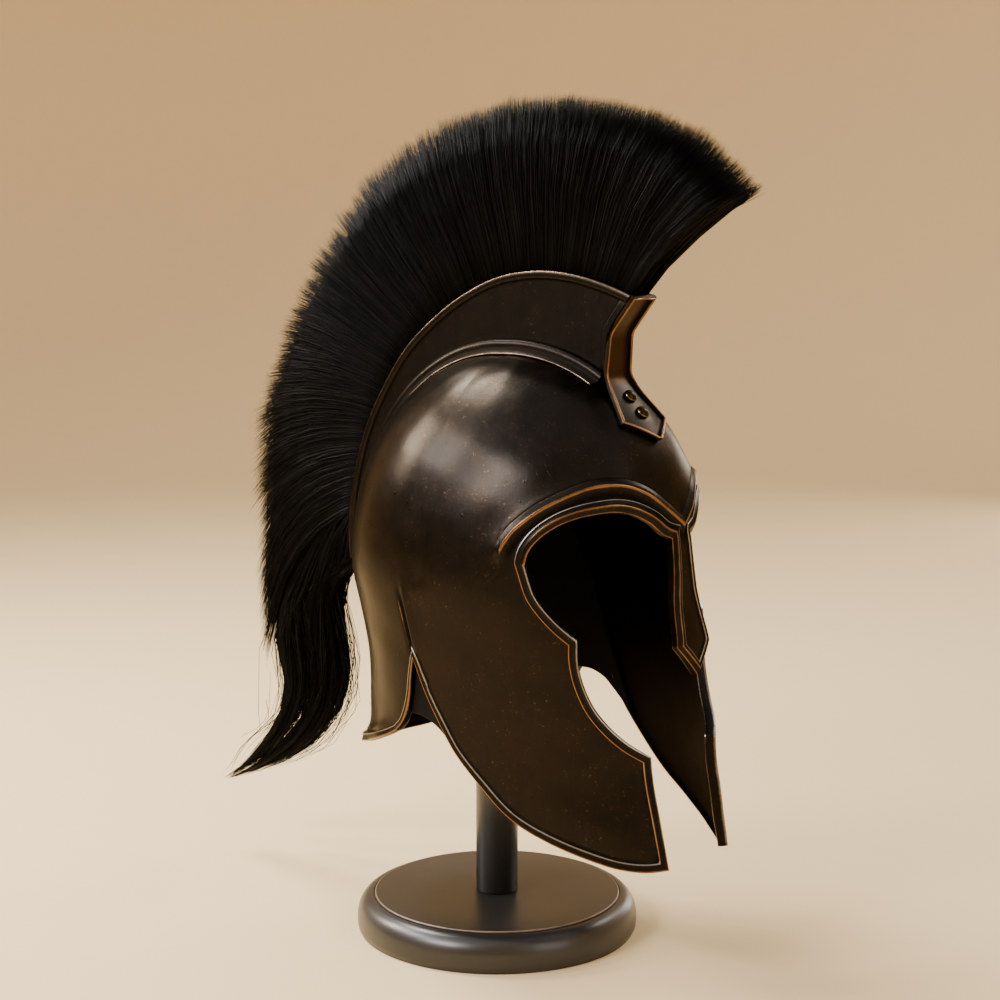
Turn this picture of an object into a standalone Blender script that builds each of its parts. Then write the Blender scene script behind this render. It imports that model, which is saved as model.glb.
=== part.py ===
"""Greek crested helmet on its plain display stand, in metres, +Z up.

The floor is z = 0 and the origin is the middle of the stand's foot. The wearer faces -Y,
and the helmet is the same on both sides of x = 0. A place on the skull is given by an angle
round from the nose and a level: 1 is the crown, 0 the temple line where the dome begins,
and -1 the cheek tips. A place on the crest is given by its angle round the temple line's
centre, from 0 at the front through 90 overhead to 180 at the back.
"""

from collections import namedtuple
from math import pi

import bmesh
import bpy
import numpy as np
from mathutils import Vector, geometry

# Stand
BASE_RADIUS = 0.100
BASE_HEIGHT = 0.026
DISC_RADIUS = 0.0875
DISC_STEP = 0.0014
DISC_ROUND = 0.0006
GROOVE_WIDTH = 0.0010
FOOT_CHAMFER = 0.0015
POST_RADIUS = 0.015
HEAD_RADIUS = 0.042
HEAD_HEIGHT = 0.030

# Skull
TEMPLE_HEIGHT = 0.265
SKULL_CENTRE_Y = -0.0195
DOME_RISE = 0.148
HALF_WIDTH = 0.105
FRONT_REACH = 0.140
BACK_REACH = 0.135
SKIRT_DROP = 0.180
WALL = 0.0016
BROW_FULLNESS = 2.3
QUARTER_START = 95.0
QUARTER_DRAW = 0.05
NASAL_LEAN = 0.0037

# Raised borders and brow ridge
BORDER_RAISE = 0.0015
BORDER_STEP = 0.0009
FLANGE_DEPTH = 0.0065
BROW_RAISE = 0.0030
BROW_SPREAD = 0.0090
BROW_POINTS = 16

# Crest holder and its front strap
CREST_RISE = 0.063
HOLDER_HALF_WIDTH = 0.012
HOLDER_WALL = 0.0016
RIM_DEPTH = 0.0050
RIM_RAISE = 0.0011
FOOT_FLARE = 0.008
STRAP_HALF_WIDTH = 0.0125
STRAP_THICKNESS = 0.0035
STRAP_RIM = 0.0026
STRAP_RECESS = 0.0017
TAB_HALF_WIDTH = 0.0240
RIVET_RADIUS = 0.0047

# Plume
PLUME_REACH = 0.170
PLUME_HALF_THICKNESS = 0.0150
ROOT_DEPTH = 0.010
TAIL_LENGTH = 0.200
LOCK_RELIEF = 0.26
LOCK_RAGGED = 0.030

# Lining: its thickness, how far it lies inside the sheet and the places at its upper corner
LINING_THICKNESS = 0.0020
LINING_CLEAR = 0.0012
LINING_TOP = 0.15
LINING_START = 104.0
LINING_SECTIONS = 11
LINING_POINTS = 6

# Clearances between separate pieces
GAP = 0.0003
DOME_GAP = 0.0009

# Spacing of the faces
FACE = 0.0156
EDGE_FACE = 0.0095
STRAP_STEPS = 2
LOCK_POINTS = 7

# Share of the full circle that the skull's pattern takes when it is laid flat
FAN = 0.5

# Skull below the temple line, each width and reach as a share of the one at that line
WallRow = namedtuple("WallRow", "level half_width front back")
WALL_ROWS = (
    WallRow(0.00, 1.000, 1.000, 1.000),
    WallRow(-0.19, 0.972, 1.040, 0.934),
    WallRow(-0.36, 0.943, 1.065, 0.876),
    WallRow(-0.53, 0.924, 1.075, 0.873),
    WallRow(-0.69, 0.914, 1.088, 0.889),
    WallRow(-0.85, 0.914, 1.129, 0.900),
    WallRow(-1.00, 0.905, 1.164, 0.933),
)

# The half outline from the nose tip to the nape, one smooth stretch at a time.
# Rows are (angle in degrees, level). Borders are widths in metres at the stretch's two ends.
Stretch = namedtuple("Stretch", "name border_start border_end flange rows")
OUTLINE = (
    Stretch("nasal_point", 0.0036, 0.0036, 1.0, ((0.0, -0.318), (9.9, -0.209))),
    Stretch("nasal_side", 0.0036, 0.0036, 1.0,
            ((9.9, -0.209), (7.7, -0.072), (5.8, 0.090), (5.4, 0.215))),
    Stretch("eye_top", 0.0040, 0.0063, 0.8,
            ((5.4, 0.215), (9.0, 0.232), (16.0, 0.298), (21.5, 0.332), (27.0, 0.346),
             (33.5, 0.341), (40.5, 0.323), (47.0, 0.288), (52.5, 0.232), (55.5, 0.175),
             (56.6, 0.118))),
    Stretch("eye_bottom", 0.0063, 0.0063, 0.4,
            ((56.6, 0.118), (54.6, 0.020), (51.0, -0.061), (47.0, -0.120), (43.0, -0.165))),
    Stretch("mouth", 0.0063, 0.0063, 0.4,
            ((43.0, -0.165), (43.6, -0.244), (42.6, -0.333), (40.0, -0.411), (36.0, -0.474),
             (30.0, -0.537), (22.0, -0.592))),
    Stretch("cheek_front", 0.0063, 0.0063, 0.4, ((22.0, -0.592), (20.9, -0.850), (20.3, -1.0))),
    Stretch("cheek_bottom", 0.0060, 0.0036, 0.4,
            ((20.3, -1.0), (28.5, -1.003), (37.0, -0.990), (45.0, -0.960), (54.5, -0.913),
             (64.5, -0.844), (73.5, -0.728), (81.0, -0.611), (85.0, -0.522), (89.0, -0.417),
             (93.4, -0.289))),
    Stretch("guard_front", 0.0030, 0.0030, 0.4,
            ((93.4, -0.289), (94.9, -0.361), (95.9, -0.428), (97.6, -0.492), (100.2, -0.545),
             (104.0, -0.585))),
    Stretch("guard_bottom", 0.0040, 0.0060, 0.4,
            ((104.0, -0.585), (108.5, -0.611), (114.5, -0.639), (133.0, -0.703), (150.0, -0.744),
             (165.0, -0.772), (180.0, -0.783))),
)
BROW_LINE = ((0.0, 0.272), (8.5, 0.352), (14.0, 0.404), (22.0, 0.446), (30.0, 0.454),
             (39.5, 0.430), (48.5, 0.382), (57.0, 0.300), (64.5, 0.218), (67.0, 0.150))

# Lining's lower hem from its front end to the nape, as (angle, level)
HEM_ROWS = ((76.0, -0.675), (80.0, -0.625), (84.0, -0.577), (88.0, -0.534), (92.5, -0.514),
            (100.0, -0.510), (180.0, -0.510))

# Crest holder: its rim's rise over the dome as a share of CREST_RISE
RimRow = namedtuple("RimRow", "angle rise")
RIM_ROWS = (
    RimRow(60.0, 1.00), RimRow(66.0, 0.965), RimRow(74.0, 0.930), RimRow(82.0, 0.890),
    RimRow(91.0, 0.815), RimRow(101.0, 0.690), RimRow(112.0, 0.570), RimRow(123.0, 0.485),
    RimRow(133.0, 0.405), RimRow(144.0, 0.355), RimRow(156.0, 0.315), RimRow(168.0, 0.290),
    RimRow(184.0, 0.275),
)

# Front strap on the middle plane: height over the dome as a share of CREST_RISE, and half
# width as a share of the way from the strap's to the tab's
StrapRow = namedtuple("StrapRow", "angle lift widen")
STRAP_ROWS = (
    StrapRow(60.0, 0.995, 0.00), StrapRow(61.3, 0.560, 0.00), StrapRow(61.2, 0.500, 0.02),
    StrapRow(57.6, 0.155, 0.10), StrapRow(56.0, 0.120, 0.18), StrapRow(52.6, 0.080, 0.38),
    StrapRow(44.6, 0.070, 1.00), StrapRow(38.4, 0.070, -0.92),
)

# Plume: where a lock leaves the rim, where it ends, and how far it bows to the side that is
# in front of it as it rises and above it as it goes back, as a share of its length
LockRow = namedtuple("LockRow", "root tip reach bow")
LOCK_ROWS = (
    LockRow(62.2, 53.5, 0.970, -0.140), LockRow(66.5, 62.5, 1.020, -0.080),
    LockRow(73.0, 72.5, 1.018, -0.030), LockRow(82.0, 84.5, 1.000, 0.000),
    LockRow(92.0, 96.5, 0.976, 0.010), LockRow(103.0, 109.5, 0.930, 0.020),
    LockRow(114.0, 123.0, 0.870, 0.040), LockRow(125.0, 137.0, 0.815, 0.060),
    LockRow(136.0, 151.0, 0.795, 0.085), LockRow(147.0, 166.0, 0.750, 0.110),
    LockRow(158.0, 180.0, 0.690, 0.135), LockRow(168.0, 192.0, 0.710, 0.160),
)
PLUME_NODES = ("plume_front", "plume_crown", "plume_back", "plume_fall")
LOCKS_A_NODE = 8

# Tail of the plume below the holder's end, as shares of TAIL_LENGTH back and down from there:
# the edge on the outside of its curve and the edge that faces the neck
TailRow = namedtuple("TailRow", "outer_back outer_down inner_back inner_down")
TAIL_ROWS = (
    TailRow(0.482, 0.290, 0.125, 0.080), TailRow(0.458, 0.370, 0.134, 0.190),
    TailRow(0.425, 0.470, 0.118, 0.310), TailRow(0.402, 0.570, 0.100, 0.430),
    TailRow(0.425, 0.650, 0.125, 0.560), TailRow(0.500, 0.745, 0.205, 0.690),
    TailRow(0.610, 0.860, 0.360, 0.820), TailRow(0.745, 0.985, 0.670, 0.970),
)


def material(name, colour, roughness, metallic):
    made = bpy.data.materials.new(name)
    made.use_nodes = True
    shader = made.node_tree.nodes["Principled BSDF"]
    shader.inputs["Base Color"].default_value = (*colour, 1.0)
    shader.inputs["Roughness"].default_value = roughness
    shader.inputs["Metallic"].default_value = metallic
    return made


def clear_scene():
    for old in list(bpy.data.objects):
        bpy.data.objects.remove(old)


def new_object(name, verts, faces, finish, collection):
    """A smooth-shaded object from points and faces, with its faces turned outward."""
    mesh = bpy.data.meshes.new(name)
    mesh.from_pydata([tuple(map(float, v)) for v in verts], [], [tuple(map(int, f)) for f in faces])
    work = bmesh.new()
    work.from_mesh(mesh)
    bmesh.ops.recalc_face_normals(work, faces=work.faces)
    work.to_mesh(mesh)
    work.free()
    mesh.materials.append(finish)
    mesh.shade_smooth()
    made = bpy.data.objects.new(name, mesh)
    collection.objects.link(made)
    return made


def cubic(at, xs, ys, flat_start=False):
    """A smooth curve through (xs, ys), read at the places `at`."""
    xs = np.asarray(xs, float)
    ys = np.asarray(ys, float)
    slopes = np.gradient(ys, xs)
    if flat_start:
        slopes[0] = 0.0
    at = np.clip(np.asarray(at, float), xs[0], xs[-1])
    i = np.clip(np.searchsorted(xs, at, side="right") - 1, 0, len(xs) - 2)
    step = xs[i + 1] - xs[i]
    t = (at - xs[i]) / step
    return ((1 + 2 * t) * (1 - t) ** 2 * ys[i] + t * (1 - t) ** 2 * step * slopes[i]
            + t * t * (3 - 2 * t) * ys[i + 1] + t * t * (t - 1) * step * slopes[i + 1])


def smooth_step(value):
    value = np.clip(value, 0.0, 1.0)
    return value * value * (3 - 2 * value)


def through(points, count):
    """A smooth curve through points of any dimension, in `count` even steps."""
    points = np.asarray(points, float)
    legs = np.linalg.norm(np.diff(points, axis=0), axis=1)
    along = np.concatenate([[0.0], np.cumsum(legs)])
    at = np.linspace(0.0, along[-1], count)
    if len(points) == 2:
        return np.stack([np.interp(at, along, column) for column in points.T], axis=-1)
    return np.stack([cubic(at, along, column) for column in points.T], axis=-1)


def wall_shape(level):
    """Half width, front reach and back reach of the skull at a level at or below the temples."""
    falling = [-row.level for row in WALL_ROWS]
    down = np.clip(-np.asarray(level, float), 0.0, None)
    half = HALF_WIDTH * cubic(down, falling, [row.half_width for row in WALL_ROWS], True)
    front = FRONT_REACH * cubic(down, falling, [row.front for row in WALL_ROWS], True)
    back = BACK_REACH * cubic(down, falling, [row.back for row in WALL_ROWS], True)
    return half, front, back


def fullness(toward_front):
    """Exponent of the dome's curve: round at the back, fuller at the brow."""
    return 2.0 + (BROW_FULLNESS - 2.0) * np.clip(toward_front, 0.0, 1.0)


DOME_RUN = DOME_RISE * pi / 2


def drawn_in(angle, level):
    """Share of the width and reach that is left where the rear quarters are drawn in."""
    quarter = np.clip((np.degrees(np.abs(angle)) - QUARTER_START) / (180 - QUARTER_START), 0.0, 1.0)
    return 1 - QUARTER_DRAW * np.sin(pi * quarter) ** 2 * (1 - np.clip(level, 0.0, 1.0) ** 2)


def nose_lean(angle, level):
    """How far the nose guard leans out in front of the skull."""
    beside = smooth_step((np.degrees(np.abs(angle)) - 12.0) / 10.0)
    return NASAL_LEAN * smooth_step((0.2 - level) / 0.45) * (1 - beside)


def run_of(angle, level):
    """Distance down the shell's pattern from the crown to a level."""
    angle = np.asarray(angle, float)
    level = np.asarray(level, float)
    rise = np.clip(level, 0.0, 1.0) ** (fullness(np.cos(angle)) / 2)
    return np.where(level > 0, np.arccos(rise) / (pi / 2) * DOME_RUN, DOME_RUN - level * SKIRT_DROP)


def skull_point(angle, run):
    """The bare shell's surface: an egg-shaped dome down to the temples and a shaped wall below."""
    angle = np.asarray(angle, float)
    run = np.asarray(run, float)
    turn = np.clip(run / DOME_RUN, 0.0, 1.0) * pi / 2
    below = np.clip(run - DOME_RUN, 0.0, None)
    half, front, back = wall_shape(-below / SKIRT_DROP)
    forward = np.cos(angle)
    power = 2 / fullness(forward)
    height = np.cos(turn) ** power
    level = np.where(run < DOME_RUN, height, -below / SKIRT_DROP)
    spread = np.sin(turn) ** power * drawn_in(angle, level)
    reach = np.where(forward > 0, front, back)
    return np.stack([
        -half * np.sin(angle) * spread,
        SKULL_CENTRE_Y - reach * forward * spread - nose_lean(angle, level),
        TEMPLE_HEIGHT - below + DOME_RISE * np.where(run < DOME_RUN, height, 0.0),
    ], axis=-1)


def skull_frame(angle, run):
    """The surface's two slopes and its outward normal, by small differences."""
    small = 1e-4
    run = np.maximum(run, 1e-3)
    across = (skull_point(angle + small, run) - skull_point(angle - small, run)) / (2 * small)
    down = (skull_point(angle, run + small) - skull_point(angle, run - small)) / (2 * small)
    normal = np.cross(across, down)
    return across, down, normal / np.linalg.norm(normal, axis=-1, keepdims=True)


def skull_radius(x, angle):
    """Distance from the temple line's centre out to the skull, in the plane at x."""
    x, angle = np.broadcast_arrays(np.asarray(x, float), np.asarray(angle, float))
    near, far = np.zeros(x.shape), np.full(x.shape, 2 * DOME_RISE)
    for _ in range(40):
        middle = (near + far) / 2
        y = -middle * np.cos(angle)
        z = middle * np.sin(angle)
        half, front, back = wall_shape(np.minimum(z, 0.0) / SKIRT_DROP)
        reach = np.where(y < 0, front, back)
        spread = np.hypot(x / half, y / reach)
        power = fullness(-y / reach / np.maximum(spread, 1e-9))
        spread = spread / drawn_in(np.arctan2(np.abs(x / half), -y / reach), z / DOME_RISE)
        size = spread ** power + (np.maximum(z, 0.0) / DOME_RISE) ** power
        near = np.where(size < 1, middle, near)
        far = np.where(size < 1, far, middle)
    return near


def crest_point(x, angle, radius):
    """A point at x, at an angle and distance round the temple line's centre."""
    x, angle, radius = np.broadcast_arrays(np.asarray(x, float), angle, radius)
    return np.stack([x, SKULL_CENTRE_Y - radius * np.cos(angle),
                     TEMPLE_HEIGHT + radius * np.sin(angle)], axis=-1)


def rim_radius(angle):
    rise = cubic(np.degrees(angle), [row.angle for row in RIM_ROWS], [row.rise for row in RIM_ROWS])
    return skull_radius(0.0, angle) + CREST_RISE * rise


def outline_samples():
    """The half outline from nose to nape as angle, run, border width and flange share."""
    parts = []
    for stretch in OUTLINE:
        rows = np.array([(np.radians(angle), run_of(np.radians(angle), level))
                         for angle, level in stretch.rows])
        fine = through(rows * (HALF_WIDTH, 1.0), 60) / (HALF_WIDTH, 1.0)
        places = skull_point(fine[:, 0], fine[:, 1])
        along = np.concatenate([[0], np.cumsum(np.linalg.norm(np.diff(places, axis=0), axis=1))])
        count = max(2, int(round(along[-1] / EDGE_FACE)) + 1)
        even = np.linspace(0, along[-1], count)
        share = even / along[-1]
        border = stretch.border_start + (stretch.border_end - stretch.border_start) * share
        part = np.stack([np.interp(even, along, fine[:, 0]), np.interp(even, along, fine[:, 1]),
                         border, np.full(count, stretch.flange)], axis=-1)
        parts.append(part[:-1])
    parts.append(part[-1:])
    return np.concatenate(parts)


def inset(samples, widths):
    """The outline moved inward over the surface by each sample's width, with mitred corners."""
    angle, run = samples[:, 0], samples[:, 1]
    ring_angle = np.concatenate([angle, -angle[-2:0:-1]])
    ring_run = np.concatenate([run, run[-2:0:-1]])
    across, down, normal = skull_frame(ring_angle, ring_run)
    here = skull_point(ring_angle, ring_run)
    ahead = np.roll(here, -1, axis=0) - here
    ahead /= np.linalg.norm(ahead, axis=1, keepdims=True)
    behind = np.roll(ahead, 1, axis=0)
    inward = np.cross(ahead + behind, normal)
    inward /= np.maximum((inward ** 2).sum(axis=1, keepdims=True) / 2, 0.35)
    inward = inward[:len(angle)] * widths[:, None]
    slopes = np.stack([across, down], axis=-1)[:len(angle)]
    moved = np.stack([np.linalg.lstsq(slope, step, rcond=None)[0]
                      for slope, step in zip(slopes, inward)])
    result = samples.copy()
    result[:, :2] += moved
    result[[0, -1], 0] = samples[[0, -1], 0]
    return result


def lay_flat(angle, run):
    return np.stack([run * np.cos(angle * FAN), run * np.sin(angle * FAN)], axis=-1)


def inside(points, border):
    """Which flat points lie between the crown and a border line, by counting edges to their right."""
    ring = np.concatenate([border, [(0.0, 0.0)]])
    x, y = points[:, 0:1], points[:, 1:2]
    x0, y0 = ring[:, 0], ring[:, 1]
    x1, y1 = np.roll(x0, -1), np.roll(y0, -1)
    spans = (y0 > y) != (y1 > y)
    rise = np.where(y1 == y0, 1e-12, y1 - y0)
    return ((x < x0 + (y - y0) / rise * (x1 - x0)) & spans).sum(axis=1) % 2 == 1


def shell_rings(last_run):
    """Rows of points round half of the shell, evenly spread, from the crown down."""
    rows = []
    fine = np.linspace(0, pi, 60)
    for run in np.arange(FACE, last_run, FACE):
        width = np.linalg.norm(np.diff(skull_point(fine, run), axis=0), axis=1).sum()
        spread = np.linspace(0, pi, max(3, int(round(width / FACE)) + 1))[1:-1]
        rows.append(np.stack([spread, np.full(len(spread), run)], axis=-1))
    return np.concatenate(rows)


def brow_rows():
    """Three rows along the brow, the foot of its front, its sharp line and its rear slope.

    It gives the rows' pattern points and their lift, which fades out towards the temple.
    """
    line = np.array([(np.radians(a), run_of(np.radians(a), level)) for a, level in BROW_LINE])
    line = through(line * (HALF_WIDTH, 1.0), BROW_POINTS) / (HALF_WIDTH, 1.0)
    fade = np.clip((BROW_POINTS - 1 - np.arange(BROW_POINTS)) / 3.0, 0.0, 1.0)
    rows = [line + (0.0, offset) for offset in (0.3 * BROW_SPREAD, 0.0, -BROW_SPREAD)]
    lift = np.concatenate([share * BROW_RAISE * fade for share in (0.0, 1.0, 0.0)])
    return np.concatenate(rows), lift


def flat_pattern():
    """Half of the shell's sheet as pattern points (angle, run), their lift and wall, and edges.

    The outline comes first, then the two inner lines of its raised border, then the brow.
    """
    outline = outline_samples()
    border = outline[:, 2]
    shoulder = inset(outline, border - BORDER_STEP)
    foot = inset(outline, border)
    brow, brow_lift = brow_rows()
    n = len(outline)
    lines = np.concatenate([outline[:, :2], shoulder[:, :2], foot[:, :2], brow])
    fill = fill_points(foot[:, :2], lines, len(brow))
    points = np.concatenate([lines, fill])
    lift = np.concatenate([np.full(2 * n, BORDER_RAISE), np.zeros(n), brow_lift, np.zeros(len(fill))])
    wall = np.full(len(points), WALL)
    wall[:n] += (FLANGE_DEPTH - WALL) * outline[:, 3]
    starts = [(0, n), (n, n), (2 * n, n)] + [(3 * n + row * BROW_POINTS, BROW_POINTS) for row in range(3)]
    edges = [(first + i, first + i + 1) for first, count in starts for i in range(count - 1)]
    crown = int(np.argmin(points[:, 1]))
    edges += [(n - 1, crown), (crown, 0)]
    return points, lift, wall, edges, n


def fill_points(foot, lines, brow_count):
    """Even points between the border and the brow, with a row down the middle plane."""
    places = skull_point(lines[:, 0], lines[:, 1])
    border_places, brow_places = places[:-brow_count], places[-brow_count:]

    def clear_of(points, others, distance):
        here = skull_point(points[:, 0], points[:, 1])
        return np.linalg.norm(here[:, None] - others[None], axis=2).min(axis=1) > distance

    rings = shell_rings(lines[:, 1].max())
    keep = inside(lay_flat(*rings.T), lay_flat(*foot.T))
    keep &= clear_of(rings, border_places, 0.6 * EDGE_FACE)
    keep &= clear_of(rings, brow_places, 0.5 * BROW_SPREAD)
    middle = np.concatenate([
        [(angle, run) for run in np.arange(FACE, last - 0.6 * EDGE_FACE, FACE)]
        for angle, last in ((0.0, foot[0, 1]), (pi, foot[-1, 1]))
    ])
    middle = middle[clear_of(middle, brow_places, 0.5 * BROW_SPREAD)]
    return np.concatenate([[(0.0, 0.0)], rings[keep], middle])


def helmet_shell(finish, collection):
    """Skull, nose guard, cheek guards and neck guard in one sheet with raised borders.

    Half of the sheet is laid flat as a fan, filled with triangles inside its outline, then
    raised to the skull's form. Mirror makes the other half and Solidify gives the wall, which
    turns inward deeper along the eyes and the nose guard.
    """
    points, lift, wall, edges, outline_count = flat_pattern()
    flat = [tuple(map(float, place)) for place in lay_flat(*points.T)]
    _, _, faces, origins, _, _ = geometry.delaunay_2d_cdt(flat, edges, [], 0, 1e-7, True)
    source = np.array([made_from[0] for made_from in origins])
    faces = source[np.array(faces)]
    flat = np.array(flat)
    faces = faces[inside(flat[faces].mean(axis=1), flat[:outline_count])]
    on_middle = (points[:, 0] < 1e-6) | (points[:, 0] > pi - 1e-6) | (points[:, 1] < 1e-6)
    faces = faces[~on_middle[faces].all(axis=1)]
    used, faces = np.unique(faces, return_inverse=True)
    angle, run = points[used].T
    places = skull_point(angle, run) + skull_frame(angle, run)[2] * lift[used, None]
    places[on_middle[used], 0] = 0.0

    shell = new_object("helmet_shell", places, faces.reshape(-1, 3), finish, collection)
    crown_face = min(shell.data.polygons, key=lambda face: -face.center.z)
    if crown_face.normal.z < 0:
        shell.data.flip_normals()
    group = shell.vertex_groups.new(name="wall")
    for i, thickness in enumerate(wall[used]):
        group.add([i], float(thickness / FLANGE_DEPTH), "REPLACE")
    mirror = shell.modifiers.new("other side", "MIRROR")
    mirror.use_mirror_merge = True
    mirror.merge_threshold = 0.0001
    solid = shell.modifiers.new("wall", "SOLIDIFY")
    solid.thickness = FLANGE_DEPTH
    solid.offset = -1.0
    solid.vertex_group = "wall"
    return shell


def loft(name, rings, finish, collection, ends=None):
    """A closed body through a row of closed rings that hold the same number of points.

    An end is one flat face, or the faces given in `ends` as places round a ring.
    """
    rings = np.asarray(rings, float)
    count, size = rings.shape[:2]
    index = np.arange(count * size).reshape(count, size)
    ahead = np.roll(index, -1, axis=1)
    faces = np.stack([index[:-1], ahead[:-1], ahead[1:], index[1:]], axis=-1).reshape(-1, 4).tolist()
    for ring in (index[0], index[-1]):
        faces += [ring[list(face)] for face in ends or [range(size)]]
    return new_object(name, rings.reshape(-1, 3), faces, finish, collection)


def strips(size):
    """The end faces of a section made of two facing rows, in strips from one to the other."""
    return [(i, i + 1, size - 2 - i, size - 1 - i) for i in range(size // 2 - 1)]


def head_lining(finish, collection):
    """Leather band inside the sheet, from behind one cheek round the nape to behind the other.

    Each section runs from the band's top edge down to its hem, a little inside the sheet.
    """
    top = np.linspace((np.radians(LINING_START), run_of(np.radians(LINING_START), LINING_TOP)),
                      (pi, run_of(pi, LINING_TOP)), LINING_SECTIONS)
    rows = np.array([(np.radians(angle), run_of(np.radians(angle), level)) for angle, level in HEM_ROWS])
    hem = through(rows * (HALF_WIDTH, 1.0), LINING_SECTIONS) / (HALF_WIDTH, 1.0)
    down = np.linspace(0.0, 1.0, LINING_POINTS)[:, None]
    rings = []
    for upper, lower in zip(top, hem):
        angle, run = (upper + (lower - upper) * down).T
        places, normal = skull_point(angle, run), skull_frame(angle, run)[2]
        outside = places - normal * (WALL + LINING_CLEAR)
        rings.append(np.concatenate([outside, (outside - normal * LINING_THICKNESS)[::-1]]))
    rings = np.array(rings)
    rings[-1, :, 0] = 0.0
    rings = np.concatenate([rings, (rings[:-1] * (-1.0, 1.0, 1.0))[::-1]])
    return loft("head_lining", rings, finish, collection, strips(2 * LINING_POINTS))


def both_sides(half):
    """A closed section from its right half, whose points on the middle plane are used once."""
    half = np.asarray(half, float)
    return np.concatenate([half, half[half[:, 0] > 0][::-1] * (-1.0, 1.0)])


def strap_line():
    """Places down the front strap's middle, the way each one faces, and the strap's widening."""
    rows = np.array(STRAP_ROWS)
    at = np.linspace(0, len(rows) - 1, STRAP_STEPS * (len(rows) - 1) + 1)
    angle, lift, widen = (np.interp(at, np.arange(len(rows)), column) for column in rows.T)
    angle = np.radians(angle)
    places = crest_point(0.0, angle, skull_radius(0.0, angle) + CREST_RISE * lift)
    forward = np.gradient(places, axis=0)
    forward /= np.linalg.norm(forward, axis=1, keepdims=True)
    facing = np.stack([np.zeros(len(places)), forward[:, 2], -forward[:, 1]], axis=-1)
    return places, facing, widen


def angle_behind_strap(radius):
    """The crest angle just behind the front strap at each distance from the centre."""
    places, facing, widen = strap_line()
    behind = (places - facing * (STRAP_THICKNESS + 4 * GAP))[widen < 0.3]
    y, z = behind[:, 1] - SKULL_CENTRE_Y, behind[:, 2] - TEMPLE_HEIGHT
    order = np.argsort(np.hypot(y, z))
    behind = np.interp(radius, np.hypot(y, z)[order], np.arctan2(z, -y)[order])
    return np.maximum(behind, np.radians(STRAP_ROWS[3].angle))


def holder_section(angle):
    """The holder cut across at a crest angle, as (x, distance from the centre) points."""
    w, wall, flare, top = HOLDER_HALF_WIDTH, HOLDER_WALL, FOOT_FLARE, float(rim_radius(angle))
    waist = (top + float(skull_radius(0.0, angle))) / 2 + 0.5 * wall
    foot = [(0.0, 0.0), (w, 0.0), (w + flare, 0.0), (w + flare, wall), (w + 0.45 * flare, 1.7 * wall),
            (w + 0.12 * flare, 0.45 * flare + wall), (w, flare + wall)]
    rim = [(w, waist), (w, top - RIM_DEPTH - RIM_RAISE), (w + RIM_RAISE, top - RIM_DEPTH),
           (w + RIM_RAISE, top - RIM_RAISE), (w, top), (w - wall, top - 0.3 * RIM_RAISE),
           (w - wall, waist)]
    floor = [(w - wall, wall), (0.0, wall)]

    def over_dome(points):
        return [(x, float(skull_radius(x, angle)) + DOME_GAP + height) for x, height in points]

    return both_sides(over_dome(foot) + rim + over_dome(floor))


def holder_ends(size):
    """The end faces of the holder: its floor, its foot and the two parts of its plate."""
    right = [(0, 1, 14, 15), (1, 2, 3, 4, 5, 6, 14), (6, 7, 13, 14), (7, 8, 9, 10, 11, 12, 13)]
    return right + [tuple((size - i) % size for i in face) for face in right]


def crest_holder(finish, collection):
    """Trough for the hair: two side plates with a raised rim, a floor, and a flared foot.

    Each section is flat across the crest. Its foot follows the dome a hair's breadth off, and
    its front end follows the back of the strap.
    """
    angles = np.radians(np.linspace(65.5, RIM_ROWS[-1].angle, 21))
    sections = [holder_section(angle) for angle in np.concatenate([[np.radians(61.5)], angles])]
    bends = [np.full(len(section), angle) for section, angle in zip(sections[1:], angles)]
    front = sections[0]
    cut_back = 0.9 * np.clip(np.abs(front[:, 0]) - HOLDER_HALF_WIDTH - RIM_RAISE, 0.0, None)
    bends.insert(0, angle_behind_strap(front[:, 1]) + cut_back / front[:, 1])
    rings = [crest_point(section[:, 0], bend, section[:, 1]) for section, bend in zip(sections, bends)]
    return loft("crest_holder", rings, finish, collection, holder_ends(len(front)))


def crest_strap(finish, collection):
    """Channel-shaped strap up the front of the holder, with a tab on the brow that ends in a V."""
    rings = []
    for place, out, wide in zip(*strap_line()):
        half_width = STRAP_HALF_WIDTH + (TAB_HALF_WIDTH - STRAP_HALF_WIDTH) * wide
        rim = min(STRAP_RIM, 0.4 * half_width)
        recess = STRAP_RECESS * rim / STRAP_RIM
        x, depth = both_sides([
            (0.0, -STRAP_THICKNESS), (0.5 * half_width, -STRAP_THICKNESS),
            (half_width - 0.15 * rim, -STRAP_THICKNESS), (half_width, -0.85 * STRAP_THICKNESS),
            (half_width, -0.15 * rim), (half_width - 0.15 * rim, 0.0), (half_width - rim, 0.0),
            (half_width - 1.35 * rim, -recess), (0.4 * half_width, -recess), (0.0, -recess),
        ]).T
        angle = np.arctan2(place[2] - TEMPLE_HEIGHT, SKULL_CENTRE_Y - place[1])
        sag = (skull_radius(0.0, angle) - skull_radius(x, angle)) * smooth_step(abs(wide) / 0.3)
        rings.append(place + x[:, None] * (1.0, 0.0, 0.0) + (depth - sag)[:, None] * out)
    return loft("crest_strap", rings, finish, collection)


def turned(name, profile, steps, finish, collection):
    """A turned solid from a profile of (radius, height) points, top to bottom."""
    mesh = bpy.data.meshes.new(name)
    points = [(float(radius), 0.0, float(height)) for radius, height in profile]
    mesh.from_pydata(points, [(i, i + 1) for i in range(len(points) - 1)], [])
    mesh.materials.append(finish)
    made = bpy.data.objects.new(name, mesh)
    collection.objects.link(made)
    screw = made.modifiers.new("turn", "SCREW")
    screw.steps = screw.render_steps = steps
    screw.use_merge_vertices = True
    screw.merge_threshold = 0.00001
    screw.use_smooth_shade = True
    return made


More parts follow.
